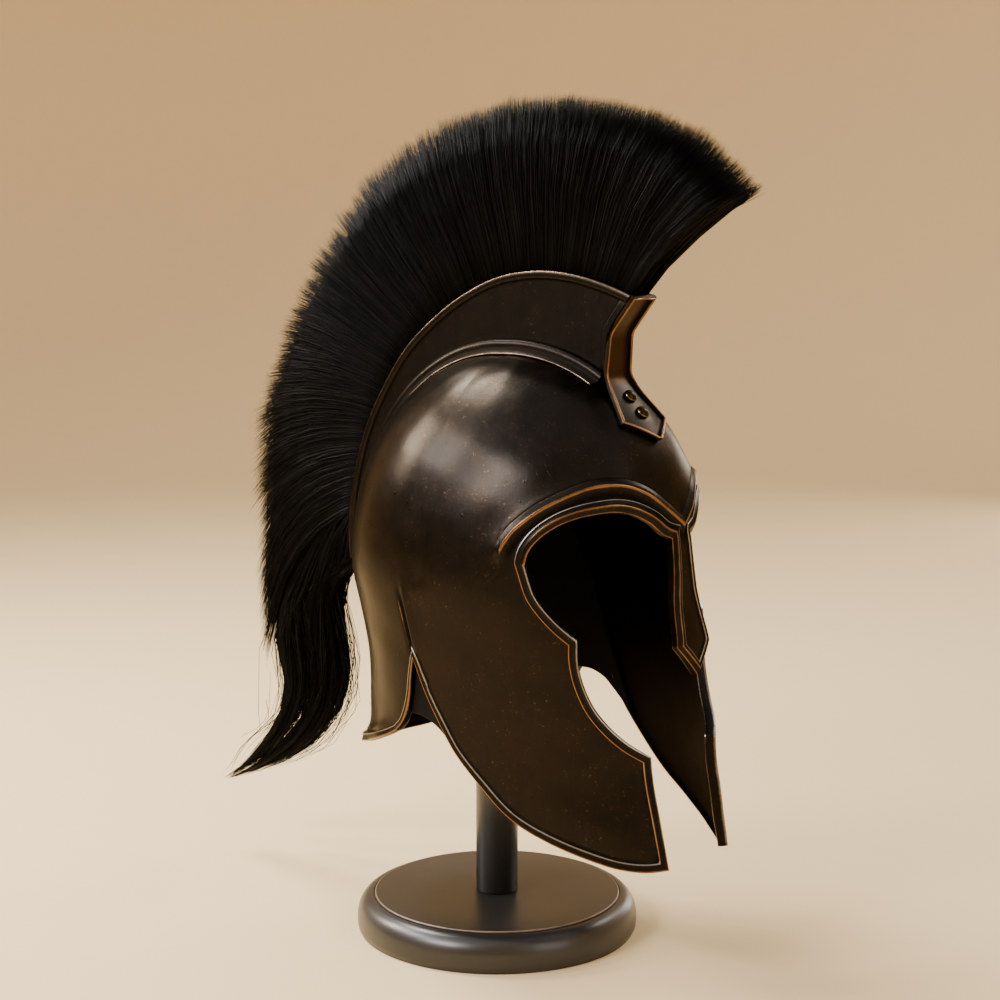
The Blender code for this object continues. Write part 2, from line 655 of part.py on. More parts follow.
def rivets(finish, collection):
    """Two round-headed rivets seated on the strap's tab."""
    places, facing, _ = strap_line()
    arc = np.linspace(pi / 2, 0.0, 5)
    profile = list(zip(RIVET_RADIUS * np.cos(arc), 0.72 * RIVET_RADIUS * np.sin(arc))) + [(0.0, 0.0)]
    rows = np.arange(len(places)) / STRAP_STEPS
    for name, row in (("rivet_upper", 5.1), ("rivet_lower", 5.75)):
        head = turned(name, profile, 14, finish, collection)
        place = np.array([np.interp(row, rows, column) for column in places.T])
        out = np.array([np.interp(row, rows, column) for column in facing.T])
        head.location = place - out * (STRAP_RECESS - 2 * GAP)
        head.rotation_euler = Vector(out).to_track_quat("Z", "Y").to_euler()


def lock_curve(place, along):
    """Points on the middle plane from the rim's inside to a lock's end, at shares `along`."""
    rows = np.array(LOCK_ROWS)
    root, tip, reach, bow = (cubic(place, np.arange(len(rows)), column) for column in rows.T)
    root, tip = np.radians(root), np.radians(tip)
    start = crest_point(0.0, root, rim_radius(root) - ROOT_DEPTH)
    end = crest_point(0.0, tip, skull_radius(0.0, tip) + PLUME_REACH * reach)
    across = np.array((0.0, -(end - start)[2], (end - start)[1]))
    middle = (start + end) / 2 + across * bow
    t = np.asarray(along)[:, None]
    return (1 - t) ** 2 * start + 2 * t * (1 - t) * middle + t * t * end


def hair_thickness(along, length):
    """Half thickness of the hair: held by the holder, fullest past its middle, thin at the ends."""
    held = HOLDER_HALF_WIDTH - HOLDER_WALL - 2 * GAP
    leaves = 1.3 * ROOT_DEPTH / length
    full = held + (PLUME_HALF_THICKNESS - held) * smooth_step((along - leaves) / 0.4)
    return full * (1 - 0.45 * smooth_step((along - 0.72) / 0.28))


def lens(curve, half):
    """A closed section round a curve on the middle plane, `half` thick on each side of it."""
    sideways = half[:, None] * (1.0, 0.0, 0.0)
    return np.concatenate([curve + sideways, (curve - sideways)[::-1]])


def plume_node(name, first, last, finish, collection):
    """Locks fused side by side between two places in the row of locks."""
    rings = []
    for step, place in enumerate(np.linspace(first, last, 2 * LOCKS_A_NODE + 1)):
        valley = 1.0 - step % 2
        along = np.linspace(0.0, 1.0 - LOCK_RAGGED * valley, LOCK_POINTS)
        curve = lock_curve(place, along)
        length = np.linalg.norm(np.diff(curve, axis=0), axis=1).sum()
        relief = 1 - LOCK_RELIEF * valley * smooth_step((along - 1.5 * ROOT_DEPTH / length) / 0.3)
        rings.append(lens(curve, hair_thickness(along, length) * relief))
    return loft(name, rings, finish, collection, strips(2 * LOCK_POINTS))


def plume(finish, collection):
    """Four fans of locks over the crest, and the tail that hangs from the holder's end."""
    steps = np.linspace(0.0, len(LOCK_ROWS) - 1.0, len(PLUME_NODES) + 1)
    steps[-1] -= 0.05
    gap = 1.5 * GAP / (CREST_RISE / 2)
    for name, first, last in zip(PLUME_NODES, steps[:-1], steps[1:]):
        plume_node(name, first + gap, last - gap, finish, collection)
    plume_tail(steps[-1] + gap, finish, collection)


def plume_tail(last_lock, finish, collection):
    """The hanging end of the plume, lofted across from its neck side to its outer side."""
    end_angle = np.radians(RIM_ROWS[-1].angle)
    holder_end = crest_point(0.0, end_angle, rim_radius(end_angle))
    across = np.linspace(0.0, 1.0, LOCK_POINTS)
    top = lock_curve(last_lock, across * (1 - LOCK_RAGGED))
    edges = [(holder_end + (0.0, back * TAIL_LENGTH, -down * TAIL_LENGTH),
              holder_end + (0.0, inner_back * TAIL_LENGTH, -inner_down * TAIL_LENGTH))
             for back, down, inner_back, inner_down in TAIL_ROWS]
    leaving = crest_point(0.0, end_angle, rim_radius(end_angle) - ROOT_DEPTH)
    edges.insert(0, ((top[-1] + edges[0][0]) / 2, leaving))
    outer = np.concatenate([[top[-1]], [edge[0] for edge in edges]])
    inner = np.concatenate([[top[0]], [edge[1] for edge in edges]])
    steps = 2 * len(outer) - 1
    outer, inner = through(outer, steps), through(inner, steps)
    bow = top - (top[:1] + across[:, None] * (top[-1:] - top[:1]))
    rings = []
    for number in range(steps):
        share = number / (steps - 1.0)
        line = inner[number] + across[:, None] * (outer[number] - inner[number])
        line = line + bow * (1 - share) ** 3
        width = np.linalg.norm(outer[number] - inner[number])
        held = hair_thickness(across, max(width, 2 * ROOT_DEPTH))
        hanging = PLUME_HALF_THICKNESS * (0.35 + 0.65 * np.sin(pi * across)) * min(1.0, 12 * width)
        blend = smooth_step((share - 0.08) / 0.25)
        ridges = 1 - LOCK_RELIEF * blend * (np.arange(len(across)) % 2)
        rings.append(lens(line, (held * (1 - blend) + hanging * blend) * ridges))
    return loft("plume_tail", rings, finish, collection, strips(2 * LOCK_POINTS))


def skull_height(x, y):
    """Height of the dome's outside over a place on the floor, closed in on in a few rounds."""
    out = y - SKULL_CENTRE_Y
    reach = np.where(out < 0, FRONT_REACH, BACK_REACH)
    angle = np.arctan2(np.abs(x) / HALF_WIDTH, -out / reach)
    power = fullness(np.cos(angle))
    level = np.ones(power.shape)
    for _ in range(6):
        spread = np.hypot(x / HALF_WIDTH, out / reach) / drawn_in(angle, level)
        level = np.clip(1 - spread ** power, 0.0, 1.0) ** (1 / power)
    return TEMPLE_HEIGHT + DOME_RISE * level


def stand_base(finish, collection):
    """Round foot with a bullnose edge and a disc that stands a little over it."""
    shoulder = BASE_HEIGHT - DISC_STEP
    nose = np.linspace(pi / 2, 0.0, 7)
    lip = BASE_RADIUS - DISC_RADIUS - GROOVE_WIDTH
    low = 0.38 * BASE_HEIGHT
    profile = [(0.0, BASE_HEIGHT), (DISC_RADIUS - DISC_ROUND, BASE_HEIGHT),
               (DISC_RADIUS, BASE_HEIGHT - DISC_ROUND), (DISC_RADIUS, shoulder)]
    profile += [(BASE_RADIUS - lip + lip * np.cos(a), low + (shoulder - low) * np.sin(a)) for a in nose]
    profile += [(BASE_RADIUS, 2 * FOOT_CHAMFER), (BASE_RADIUS - FOOT_CHAMFER, 0.0), (0.0, 0.0)]
    return turned("stand_base", profile, 44, finish, collection)


def stand_post(finish, collection):
    """Round post with a head whose top follows the inside of the dome and carries it."""
    turn = np.linspace(0.0, 2 * pi, 29)[:-1]

    def circle(radius, height):
        return np.stack([radius * np.cos(turn), radius * np.sin(turn), height + 0 * turn], axis=-1)

    def under_dome(radius):
        flat = circle(radius, 0.0)
        small = 1e-4
        x, y = flat[:, 0], flat[:, 1]
        height = skull_height(x, y)
        slope = np.hypot(skull_height(x + small, y) - height, skull_height(x, y + small) - height) / small
        flat[:, 2] = height - (WALL + 3 * GAP) * np.hypot(1.0, slope)
        return flat

    brim = under_dome(HEAD_RADIUS)
    underside = float(brim[:, 2].min()) - 0.25 * HEAD_HEIGHT
    rings = [circle(POST_RADIUS, BASE_HEIGHT + GAP), circle(POST_RADIUS, underside - 0.75 * HEAD_HEIGHT),
             circle(0.55 * HEAD_RADIUS, underside - 0.3 * HEAD_HEIGHT), circle(0.92 * HEAD_RADIUS, underside),
             brim]
    rings += [under_dome(share * HEAD_RADIUS) for share in (0.75, 0.5, 0.25, 0.05)]
    return loft("stand_post", rings, finish, collection)


def main():
    clear_scene()
    collection = bpy.data.collections.new("greek_crested_helmet")
    bpy.context.scene.collection.children.link(collection)
    bronze = material("dark bronze", (0.050, 0.042, 0.036), 0.36, 0.9)
    holder_bronze = material("holder bronze", (0.040, 0.033, 0.027), 0.42, 0.9)
    brass = material("worn brass", (0.160, 0.095, 0.050), 0.34, 0.9)
    hair = material("black horsehair", (0.008, 0.008, 0.009), 0.55, 0.0)
    leather = material("black leather", (0.012, 0.010, 0.009), 0.65, 0.0)
    black = material("black stand", (0.010, 0.009, 0.009), 0.38, 0.0)
    helmet_shell(bronze, collection)
    head_lining(leather, collection)
    crest_holder(holder_bronze, collection)
    crest_strap(holder_bronze, collection)
    rivets(brass, collection)
    plume(hair, collection)
    stand_base(black, collection)
    stand_post(black, collection)


main()
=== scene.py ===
"""Greek crested helmet on a plain display stand: its surfaces, finishes, stage and camera.

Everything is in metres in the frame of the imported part: +Z up, the wearer faces -Y, and the
helmet is the same on both sides of x = 0. A place on the skull is an angle round from the
nose and a run down from the crown. Outlines give the run as a level, which is 1 at the
crown, 0 at the temples and -1 at the cheek tips. A place on the crest is an angle round the
temple line's centre, from 0 in front through 90 degrees overhead to 180 behind, and a
distance out from that centre.
"""

from collections import namedtuple
from math import pi, radians

import bmesh
import bpy
import numpy as np
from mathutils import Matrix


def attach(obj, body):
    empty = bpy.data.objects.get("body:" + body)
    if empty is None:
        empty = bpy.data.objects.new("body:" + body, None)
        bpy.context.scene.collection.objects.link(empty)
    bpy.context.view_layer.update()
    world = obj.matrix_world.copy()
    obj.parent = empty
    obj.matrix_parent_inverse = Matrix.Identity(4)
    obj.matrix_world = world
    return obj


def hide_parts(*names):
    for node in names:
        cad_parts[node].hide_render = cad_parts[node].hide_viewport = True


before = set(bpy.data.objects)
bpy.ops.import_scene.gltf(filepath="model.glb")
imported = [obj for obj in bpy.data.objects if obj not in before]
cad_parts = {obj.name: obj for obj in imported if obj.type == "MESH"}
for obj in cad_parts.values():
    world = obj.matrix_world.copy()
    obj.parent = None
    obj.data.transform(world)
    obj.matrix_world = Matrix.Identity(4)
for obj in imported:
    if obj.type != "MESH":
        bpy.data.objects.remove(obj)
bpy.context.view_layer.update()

bl_info = {
    "name": "Greek Crested Helmet",
    "version": (1, 0, 0),
    "blender": (4, 5, 0),
    "location": "3D View > Sidebar > Helmet",
    "description": "Builds a crested helmet of patinated metal and horsehair on its stand",
    "category": "Add Mesh",
}

# Skull, as in the part
TEMPLE_HEIGHT = 0.265
SKULL_CENTRE_Y = -0.0195
DOME_RISE = 0.148
DOME_RUN = DOME_RISE * pi / 2
HALF_WIDTH = 0.105
FRONT_REACH = 0.140
BACK_REACH = 0.135
SKIRT_DROP = 0.180
WALL = 0.0016
BROW_FULLNESS = 2.3
QUARTER_START = 95.0
QUARTER_DRAW = 0.05
NASAL_LEAN = 0.0037
FLANGE_DEPTH = 0.0065

# Crest holder, strap and rivets, as in the part
CREST_RISE = 0.063
HOLDER_HALF_WIDTH = 0.012
HOLDER_WALL = 0.0016
RIM_RAISE = 0.0011
STRAP_HALF_WIDTH = 0.0125
STRAP_THICKNESS = 0.0035
STRAP_RECESS = 0.0028
TAB_HALF_WIDTH = 0.0240
RIVET_RADIUS = 0.0047
GAP = 0.0003

# Lining, as in the part
LINING_THICKNESS = 0.0020
LINING_CLEAR = 0.0012
LINING_TOP = 0.15
LINING_START = 104.0

# Plume, as in the part
PLUME_REACH = 0.170
PLUME_HALF_THICKNESS = 0.0150
ROOT_DEPTH = 0.010
TAIL_LENGTH = 0.200

# Stand, as in the part
BASE_RADIUS = 0.100
BASE_HEIGHT = 0.026
DISC_RADIUS = 0.0875
DISC_STEP = 0.0014
POST_RADIUS = 0.015
HEAD_RADIUS = 0.042
HEAD_HEIGHT = 0.030

# Fineness of the surfaces
WELD = 0.00001
STRAP_ROW = 0.0006
STRAP_COLUMN = 0.00005
CURVE_POINTS = 241
SMALL = 1e-4
DOME_STEPS = (36, 3, 5, 6, 10, 7)
INSIDE_DOME_STEPS = (9, 1, 1, 1, 1, 2)
LINING_COLUMNS = 72
FOOT_SIDES = 144
POST_SIDES = 72
RIVET_SIDES = 40
FLOOR_SIDES = 96


def table(fields, *rows):
    """Rows of a table as named tuples with these fields."""
    kind = namedtuple("Row", fields)
    return tuple(kind(*row) for row in rows)


# Half of the opening's edge, from the nose tip to the nape, one smooth stretch at a time, with
# the border's width at the stretch's two ends, its share of the raise, how deep it turns in
# as a share of the flange, how far its edge rather than the step on its other side is painted
# silver, partly as pale worn metal and partly as a painted highlight, how far its section turns
# into a bevel, and the number of steps along it. Rows are (angle, level).
OUTLINE = table(
    "name border_start border_end raised flange silver bevel steps rows",
    ("nasal_point", 0.0066, 0.0066, 1.0, 1.0, 0.3, 1.0, 10, (
     (0.0, -0.318), (9.9, -0.209))),
    ("nasal_side", 0.0066, 0.0056, 1.0, 1.0, 0.3, 1.0, 30, (
     (9.9, -0.209), (7.7, -0.072), (5.8, 0.09), (5.4, 0.215))),
    ("eye_top", 0.0104, 0.0076, 1.0, 0.8, 0.1, 1.0, 56, (
     (5.4, 0.215), (9.0, 0.232), (16.0, 0.298), (21.5, 0.332), (27.0, 0.346), (33.5, 0.341),
     (40.5, 0.323), (47.0, 0.288), (52.5, 0.232), (55.5, 0.175), (56.6, 0.118))),
    ("eye_bottom", 0.0063, 0.0063, 1.0, 0.5, 1.0, 0.0, 78, (
     (56.6, 0.118), (54.6, 0.02), (51.0, -0.061), (47.0, -0.12), (43.0, -0.165))),
    ("mouth", 0.0063, 0.0063, 1.0, 0.8, 1.0, 0.0, 42, (
     (43.0, -0.165), (43.6, -0.244), (42.6, -0.333), (40.0, -0.411), (36.0, -0.474), (30.0, -0.537),
     (22.0, -0.592))),
    ("cheek_front", 0.0063, 0.0063, 1.0, 0.9, 0.6, 0.0, 30, (
     (22.0, -0.592), (20.9, -0.85), (20.3, -1.0))),
    ("cheek_bottom", 0.0062, 0.0044, 1.0, 0.6, 0.0, 0.0, 78, (
     (20.3, -1.0), (28.5, -1.003), (37.0, -0.99), (45.0, -0.96), (54.5, -0.913), (64.5, -0.844),
     (73.5, -0.728), (81.0, -0.611), (85.0, -0.522), (89.0, -0.417), (93.4, -0.289))),
    ("guard_front", 0.0034, 0.0046, 1.0, 0.6, 0.0, 0.0, 26, (
     (93.4, -0.289), (94.9, -0.361), (95.9, -0.428), (97.6, -0.492), (100.2, -0.545),
     (104.0, -0.585))),
    ("guard_bottom", 0.0046, 0.0078, 1.7, 0.6, 0.2, 0.0, 56, (
     (104.0, -0.585), (108.5, -0.611), (114.5, -0.639), (133.0, -0.703), (150.0, -0.744),
     (165.0, -0.772), (180.0, -0.783))))

# Skull below the temple line, each width and reach as a share of the one at that line
WALL_ROWS = table(
    "level half_width front back",
    (0.0, 1.0, 1.0, 1.0), (-0.19, 0.972, 1.04, 0.934), (-0.36, 0.943, 1.065, 0.876),
    (-0.53, 0.924, 1.075, 0.873), (-0.69, 0.914, 1.088, 0.889), (-0.85, 0.914, 1.129, 0.9),
    (-1.0, 0.905, 1.164, 0.933))

# A border's section: distance in from the edge, which is a share of the border's width where
# it is over one millimetre on the outside, height as a share of the raise, wear, and grime,
# which darkens the steps and the edge partly as dirt and partly as painted shade. The last two
# columns are the share and the height where the border has a bevel.
BORDER_ROWS = table(
    "inset share raise_share wear grime bevel_share bevel_raise",
    (0.0, 1.0, 0.0, 0.0, 1.0, 1.0, 0.0), (-0.0003, 1.0, 0.22, 0.2, 0.9, 1.0, 0.22),
    (-0.0006, 1.0, 0.72, 0.8, 0.2, 1.0, 0.72), (-0.001, 1.0, 0.93, 1.0, 0.0, 1.0, 0.93),
    (-0.0015, 1.0, 0.86, 0.3, 0.1, 1.0, 0.86), (0.0, 0.6, 0.8, 0.0, 0.3, 0.7, 0.8),
    (0.0, 0.46, 0.86, 0.0, 0.2, 0.56, 0.95), (0.0, 0.38, 0.92, 0.1, 0.0, 0.5, 1.1),
    (0.0, 0.31, 0.95, 0.1, 0.0, 0.45, 1.02), (0.0, 0.16, 1.01, 0.1, 0.0, 0.24, 0.1),
    (0.0008, 0.06, 1.08, 0.5, 0.0, 0.03, -0.55), (0.0004, 0.0, 1.04, 1.0, 0.0, 0.0, -0.85),
    (0.0001, 0.0, 0.78, 0.9, 0.0, 0.0, -1.05))
# Wear of a bevelled border's rows, in the same order
BEVEL_WEAR = (0.0, 0.2, 0.7, 0.9, 0.3, 0.0, 0.2, 1.0, 0.7, 0.1, 0.2, 0.8, 0.6)
# The turned-in flange, from the edge inward: distance in from the edge, depth as a share of
# the flange's own depth, wear, and grime, which darkens it partly as dirt and partly as painted shade
FLANGE_ROWS = table(
    "inset depth_share wear grime",
    (0.0, 0.1, 0.4, 0.1), (0.0, 0.5, 0.0, 0.3), (0.0, 0.88, 0.3, 0.2), (0.0002, 1.0, 1.0, 0.0),
    (0.001, 1.0, 0.6, 0.0), (0.0013, 0.9, 0.2, 0.4))

# Lines over the skull as (angle, level): the brow ridge from the nose outward, the crease from
# its top down to the slit, and the shallow dent above it, with how far a line of relief fades
# in and out at its ends
BROW_LINE = ((0.0, 0.272), (8.5, 0.352), (14.0, 0.406), (18.7, 0.435), (23.4, 0.452),
             (28.1, 0.457), (32.6, 0.454), (37.0, 0.442), (41.4, 0.422), (46.0, 0.396),
             (50.4, 0.366), (53.8, 0.335), (56.9, 0.302), (59.6, 0.267), (61.4, 0.234),
             (62.9, 0.200), (63.8, 0.166), (64.1, 0.121))
CREASE_LINE = ((97.8, 0.010), (97.4, -0.030), (96.0, -0.120), (94.4, -0.215), (93.6, -0.275))
DENT_LINE = ((86.5, 0.062), (93.0, -0.008))
BROW_FADE = (0.0, 0.011)
CREASE_FADE = (0.020, 0.004)
DENT_FADE = (0.008, 0.006)
DENT_DEPTH = 0.0004
DENT_WIDTH = 0.0050
# Heights of the sheet's long and short waves
WAVE_HEIGHTS = (0.00030, 0.00012)
# How far the flange of a bevelled border starts below the sheet's outside
BEVEL_SINK = 0.0011
# Rows of the dome beside the brow line
DOME_STOPS = (-0.0090, -0.0056, -0.0040, -0.0010, 0.0030)

# A line of relief cut across: distance past the line, towards the eye or the cheek, height as
# a share of the line's raise, wear, and grime, which darkens the groove and channel beside the
# ridge and the crease's valley partly as dirt and partly as painted shade
BROW_ROWS = table(
    "offset height wear grime",
    (-0.015, 0.0, 0.0, 0.0), (-0.009, 0.08, 0.0, 0.0), (-0.0056, 0.24, 0.0, 0.2),
    (-0.005, 0.2, 0.0, 1.0), (-0.0045, 0.36, 0.6, 0.3), (-0.004, 0.47, 0.3, 0.0),
    (-0.0022, 0.82, 0.1, 0.0), (-0.0008, 0.99, 0.5, 0.0), (-0.0001, 1.02, 1.0, 0.0),
    (0.0007, 0.9, 0.8, 0.0), (0.0018, 0.6, 0.2, 0.1), (0.0032, 0.28, 0.0, 0.4),
    (0.0048, 0.04, 0.0, 0.8), (0.0064, -0.1, 0.0, 1.0), (0.0085, -0.1, 0.0, 0.5),
    (0.012, 0.0, 0.0, 0.0), (0.02, 0.0, 0.0, 0.0))
CREASE_ROWS = table(
    "offset height wear grime",
    (-0.012, 0.0, 0.0, 0.0), (-0.0042, 0.1, 0.0, 0.0), (-0.0034, 0.16, 1.0, 0.0),
    (-0.0029, -0.2, 0.6, 0.4), (-0.0022, -0.55, 0.0, 1.0), (-0.0005, -0.7, 0.0, 1.0),
    (0.001, -0.3, 0.0, 0.5), (0.0024, 0.55, 0.1, 0.0), (0.0036, 1.0, 0.5, 0.0), (0.0052, 0.8, 0.1, 0.0),
    (0.01, 0.25, 0.0, 0.0), (0.016, 0.0, 0.0, 0.0))

# The neck guard's flare: distance past its edge and height as a share of the flare
FLARE = 0.0030
FLARE_ROWS = ((-0.0190, 0.0), (-0.0150, 0.06), (-0.0115, 0.34), (-0.0085, 0.80), (-0.0060, 1.0),
              (0.01, 1.0))

# Lining's lower hem from its front end to the nape, as (angle, level)
HEM_ROWS = ((76.0, -0.675), (80.0, -0.625), (84.0, -0.577), (88.0, -0.534), (92.5, -0.514),
            (100.0, -0.510), (180.0, -0.510))

# Crest holder: its rim's rise over the dome as a share of CREST_RISE
RIM_ROWS = table(
    "angle rise",
    (60.0, 1.0), (66.0, 0.965), (74.0, 0.93), (82.0, 0.89), (91.0, 0.815), (101.0, 0.69), (112.0, 0.57),
    (123.0, 0.485), (133.0, 0.405), (144.0, 0.355), (156.0, 0.315), (168.0, 0.29), (184.0, 0.275))
# The holder cut across, from the middle of its underside round to the middle of its floor:
# how far it lies past the side plate, its height over the dome or, at rim share 1, over the
# rim, whether it is on the plate's front band, wear, and grime, which darkens the underside,
# the cove under the bead, the inside of the rim and the floor partly as dirt and partly as
# painted shade
HOLDER_ROWS = table(
    "past_plate rim_share height band wear grime",
    (-0.012, 0.0, 0.0, 0.0, 0.0, 1.0), (0.0074, 0.0, 0.0, 0.0, 0.0, 1.0),
    (0.0079, 0.0, 0.0004, 0.0, 0.4, 0.4), (0.008, 0.0, 0.001, 0.0, 0.8, 0.0),
    (0.0077, 0.0, 0.0015, 0.0, 0.4, 0.0), (0.0066, 0.0, 0.002, 0.0, 0.0, 0.4),
    (0.0054, 0.0, 0.0028, 0.0, 0.0, 1.0), (0.0047, 0.0, 0.0038, 0.0, 0.0, 1.0),
    (0.0046, 0.0, 0.0048, 0.0, 0.0, 0.3), (0.0047, 0.0, 0.006, 0.0, 0.1, 0.0),
    (0.0044, 0.0, 0.0072, 0.0, 0.25, 0.0), (0.0037, 0.0, 0.0083, 0.0, 0.3, 0.0),
    (0.0027, 0.0, 0.009, 0.0, 0.2, 0.0), (0.0016, 0.0, 0.0092, 0.0, 0.1, 0.0),
    (0.0006, 0.0, 0.009, 0.0, 0.0, 0.5), (0.0001, 0.0, 0.0091, 0.0, 0.0, 1.0),
    (0.0, 0.0, 0.0104, 1.0, 0.0, 0.5), (0.0, 1.0, -0.0074, 1.0, 0.0, 0.3),
    (0.0, 1.0, -0.0062, 0.6, 0.0, 1.0), (0.0002, 1.0, -0.0057, 0.2, 0.0, 1.0),
    (0.0008, 1.0, -0.0053, 0.0, 0.3, 0.2), (0.0012, 1.0, -0.0046, 0.0, 0.25, 0.0),
    (0.0014, 1.0, -0.0026, 0.0, 0.15, 0.0), (0.0012, 1.0, -0.001, 0.0, 0.5, 0.0),
    (0.0008, 1.0, -0.0003, 0.0, 1.0, 0.0), (0.0, 1.0, 0.0, 0.0, 0.9, 0.0),
    (-0.0011, 1.0, -0.0001, 0.0, 0.6, 0.0), (-0.0016, 1.0, -0.0006, 0.0, 0.2, 0.2),
    (-0.0016, 1.0, -0.01, 0.0, 0.0, 1.0), (-0.0016, 0.0, 0.004, 0.0, 0.0, 1.0),
    (-0.0036, 0.0, 0.0016, 0.0, 0.0, 1.0), (-0.012, 0.0, 0.0016, 0.0, 0.0, 1.0))
PLATE_STEPS = 18
FRONT_BAND = 0.0046
FRONT_BAND_RAISE = 0.0009

# Front strap on the middle plane: height over the dome as a share of CREST_RISE, and half
# width as a share of the way from the strap's to the tab's
STRAP_ROWS = table(
    "angle lift widen",
    (60.0, 0.995, 0.0), (61.3, 0.56, 0.0), (61.2, 0.5, 0.02), (57.6, 0.155, 0.1), (56.0, 0.12, 0.18),
    (52.6, 0.08, 0.38), (44.6, 0.07, 1.0), (38.4, 0.07, -0.92))
RIVET_ROWS = (5.1, 5.75)
# The strap's face from its edge inward: distance in, depth, wear, and grime, which darkens the recess's
# step partly as dirt and partly as painted shade
STRAP_STEPS = table(
    "inset depth wear grime",
    (0.0, 0.0026, 0.0, 0.3), (0.0, 0.0008, 0.3, 0.0), (0.00015, 0.0002, 0.8, 0.0),
    (0.0005, 0.0, 1.0, 0.0), (0.0012, 0.0, 0.6, 0.0), (0.0016, 0.0002, 0.9, 0.0),
    (0.0019, 0.0012, 0.2, 0.4), (0.0021, 0.0023, 0.0, 1.0), (0.0026, 0.0028, 0.0, 1.0),
    (0.0044, 0.0029, 0.0, 0.1))

# Plume: where a lock leaves the rim, where it ends, and how far it bows to the side that is
# in front of it as it rises and above it as it goes back, as a share of its length
LOCK_ROWS = table(
    "root tip reach bow",
    (62.2, 53.5, 0.97, -0.14), (66.5, 62.5, 1.02, -0.08), (73.0, 72.5, 1.018, -0.03),
    (82.0, 84.5, 1.0, 0.0), (92.0, 96.5, 0.976, 0.01), (103.0, 109.5, 0.93, 0.02),
    (114.0, 123.0, 0.87, 0.04), (125.0, 137.0, 0.815, 0.06), (136.0, 151.0, 0.795, 0.085),
    (147.0, 166.0, 0.75, 0.11), (158.0, 180.0, 0.69, 0.135), (168.0, 192.0, 0.71, 0.16))
# Tail below the holder's end, as shares of TAIL_LENGTH back and down from there
TAIL_ROWS = table(
    "outer_back outer_down inner_back inner_down",
    (0.482, 0.29, 0.125, 0.08), (0.458, 0.37, 0.134, 0.19), (0.425, 0.47, 0.118, 0.31),
    (0.402, 0.57, 0.1, 0.43), (0.425, 0.65, 0.125, 0.56), (0.5, 0.745, 0.205, 0.69),
    (0.61, 0.86, 0.36, 0.82), (0.745, 0.985, 0.67, 0.97))
# Fans of strands: the CAD node that each replaces, the range of places in the row of locks,
# the number of strands and of points on a strand, how ragged its ends are and how far its
# tufts pull together
FANS = table(
    "node first last strands points ragged tufted",
    ("plume_front", 0.0, 2.75, 6300, 5, 0.012, 0.3), ("plume_crown", 2.75, 5.5, 6300, 5, 0.014, 0.34),
    ("plume_back", 5.5, 8.25, 5400, 6, 0.022, 0.46), ("plume_fall", 8.25, 11.0, 4750, 7, 0.036, 0.6))
FALL_DROOP = 0.034
TAIL_STRANDS = 3300
TAIL_POINTS = 9
# Numbers of tufts and how far each draws from, coarse and fine, in a fan and in the tail
FAN_TUFTS = ((46, 0.30), (300, 0.075))
TAIL_TUFTS = ((14, 0.25), (58, 0.07))
# How a tail strand's reach varies round its mean by fine tuft, by coarse tuft and by strand,
# with the reach's limits, and how far tufts draw strands across, coarse and fine
TAIL_REACH = 0.76
TAIL_REACH_BY = (0.27, 0.06, 0.03)
TAIL_REACH_LIMITS = (0.42, 1.04)
TAIL_DRAW = (0.24, 0.66)
# How a fan strand's raggedness varies by coarse tuft, by fine tuft and by strand
RAGGED_BY = (0.7, 1.3, 0.6)
# Shares of strands that stray, and of the tail's strands that start late
FAN_STRAYS = 0.03
TAIL_STRAYS = 0.13
TAIL_LATE = 0.35
# How much thinner the plume is at its ends, as a share
HAIR_THINS = 0.30

# Finishes: the metal's edge tint, the roughness of the sheet, the holder and the rivets, the
# brass's worn and pale edges, the lacquer's rubbed edge and the colour of the metal's hollows,
# which is partly dirt and partly painted shade
METAL_TINT = (0.76, 0.72, 0.67, 1.0)
SHEET_ROUGHNESS = 0.20
HOLDER_ROUGHNESS = 0.22
RIVET_ROUGHNESS = 0.16
BRASS_WORN = (0.22, 0.14, 0.06)
BRASS_PALE = (0.26, 0.23, 0.18)
LACQUER_WORN = (0.16, 0.11, 0.07)
GRIME_AND_SHADE_COLOUR = (0.0035, 0.0026, 0.0020)

# Soft lamps, all aimed at one place on the helmet
LAMP_AIM = (0.0, 0.0, 0.30)
LAMPS = table(
    "name place size power colour",
    ("high back", (0.05, 0.99, 1.68), (0.62, 0.34), 38.0, (1.0, 0.96, 0.90)),
    ("back", (-0.52, 1.43, 1.12), (0.28, 0.50), 28.0, (1.0, 0.93, 0.83)),
    ("left back", (-1.02, 0.98, 1.25), (0.46, 0.32), 16.0, (0.97, 0.98, 1.0)),
    ("left", (-1.47, 0.24, 1.12), (0.70, 0.36), 28.0, (1.0, 0.98, 0.98)),
    ("right", (1.30, -0.35, 1.30), (0.50, 0.40), 10.0, (1.0, 0.98, 0.95)),
    ("far right", (2.45, 0.25, 0.50), (0.40, 0.90), 9.0, (1.0, 0.96, 0.90)),
    ("front", (-0.2, -1.9, 0.95), (0.8, 1.2), 8.0, (0.95, 0.97, 1.0)))

# View of the photo: the camera's place, how far it turns from the front and looks down
CAMERA_PLACE = (-1.0082, -0.8488, 0.4835)
CAMERA_TURN = radians(50.0)
CAMERA_DIP = radians(7.6)
LENS = 68.4
SENSOR = 36.0


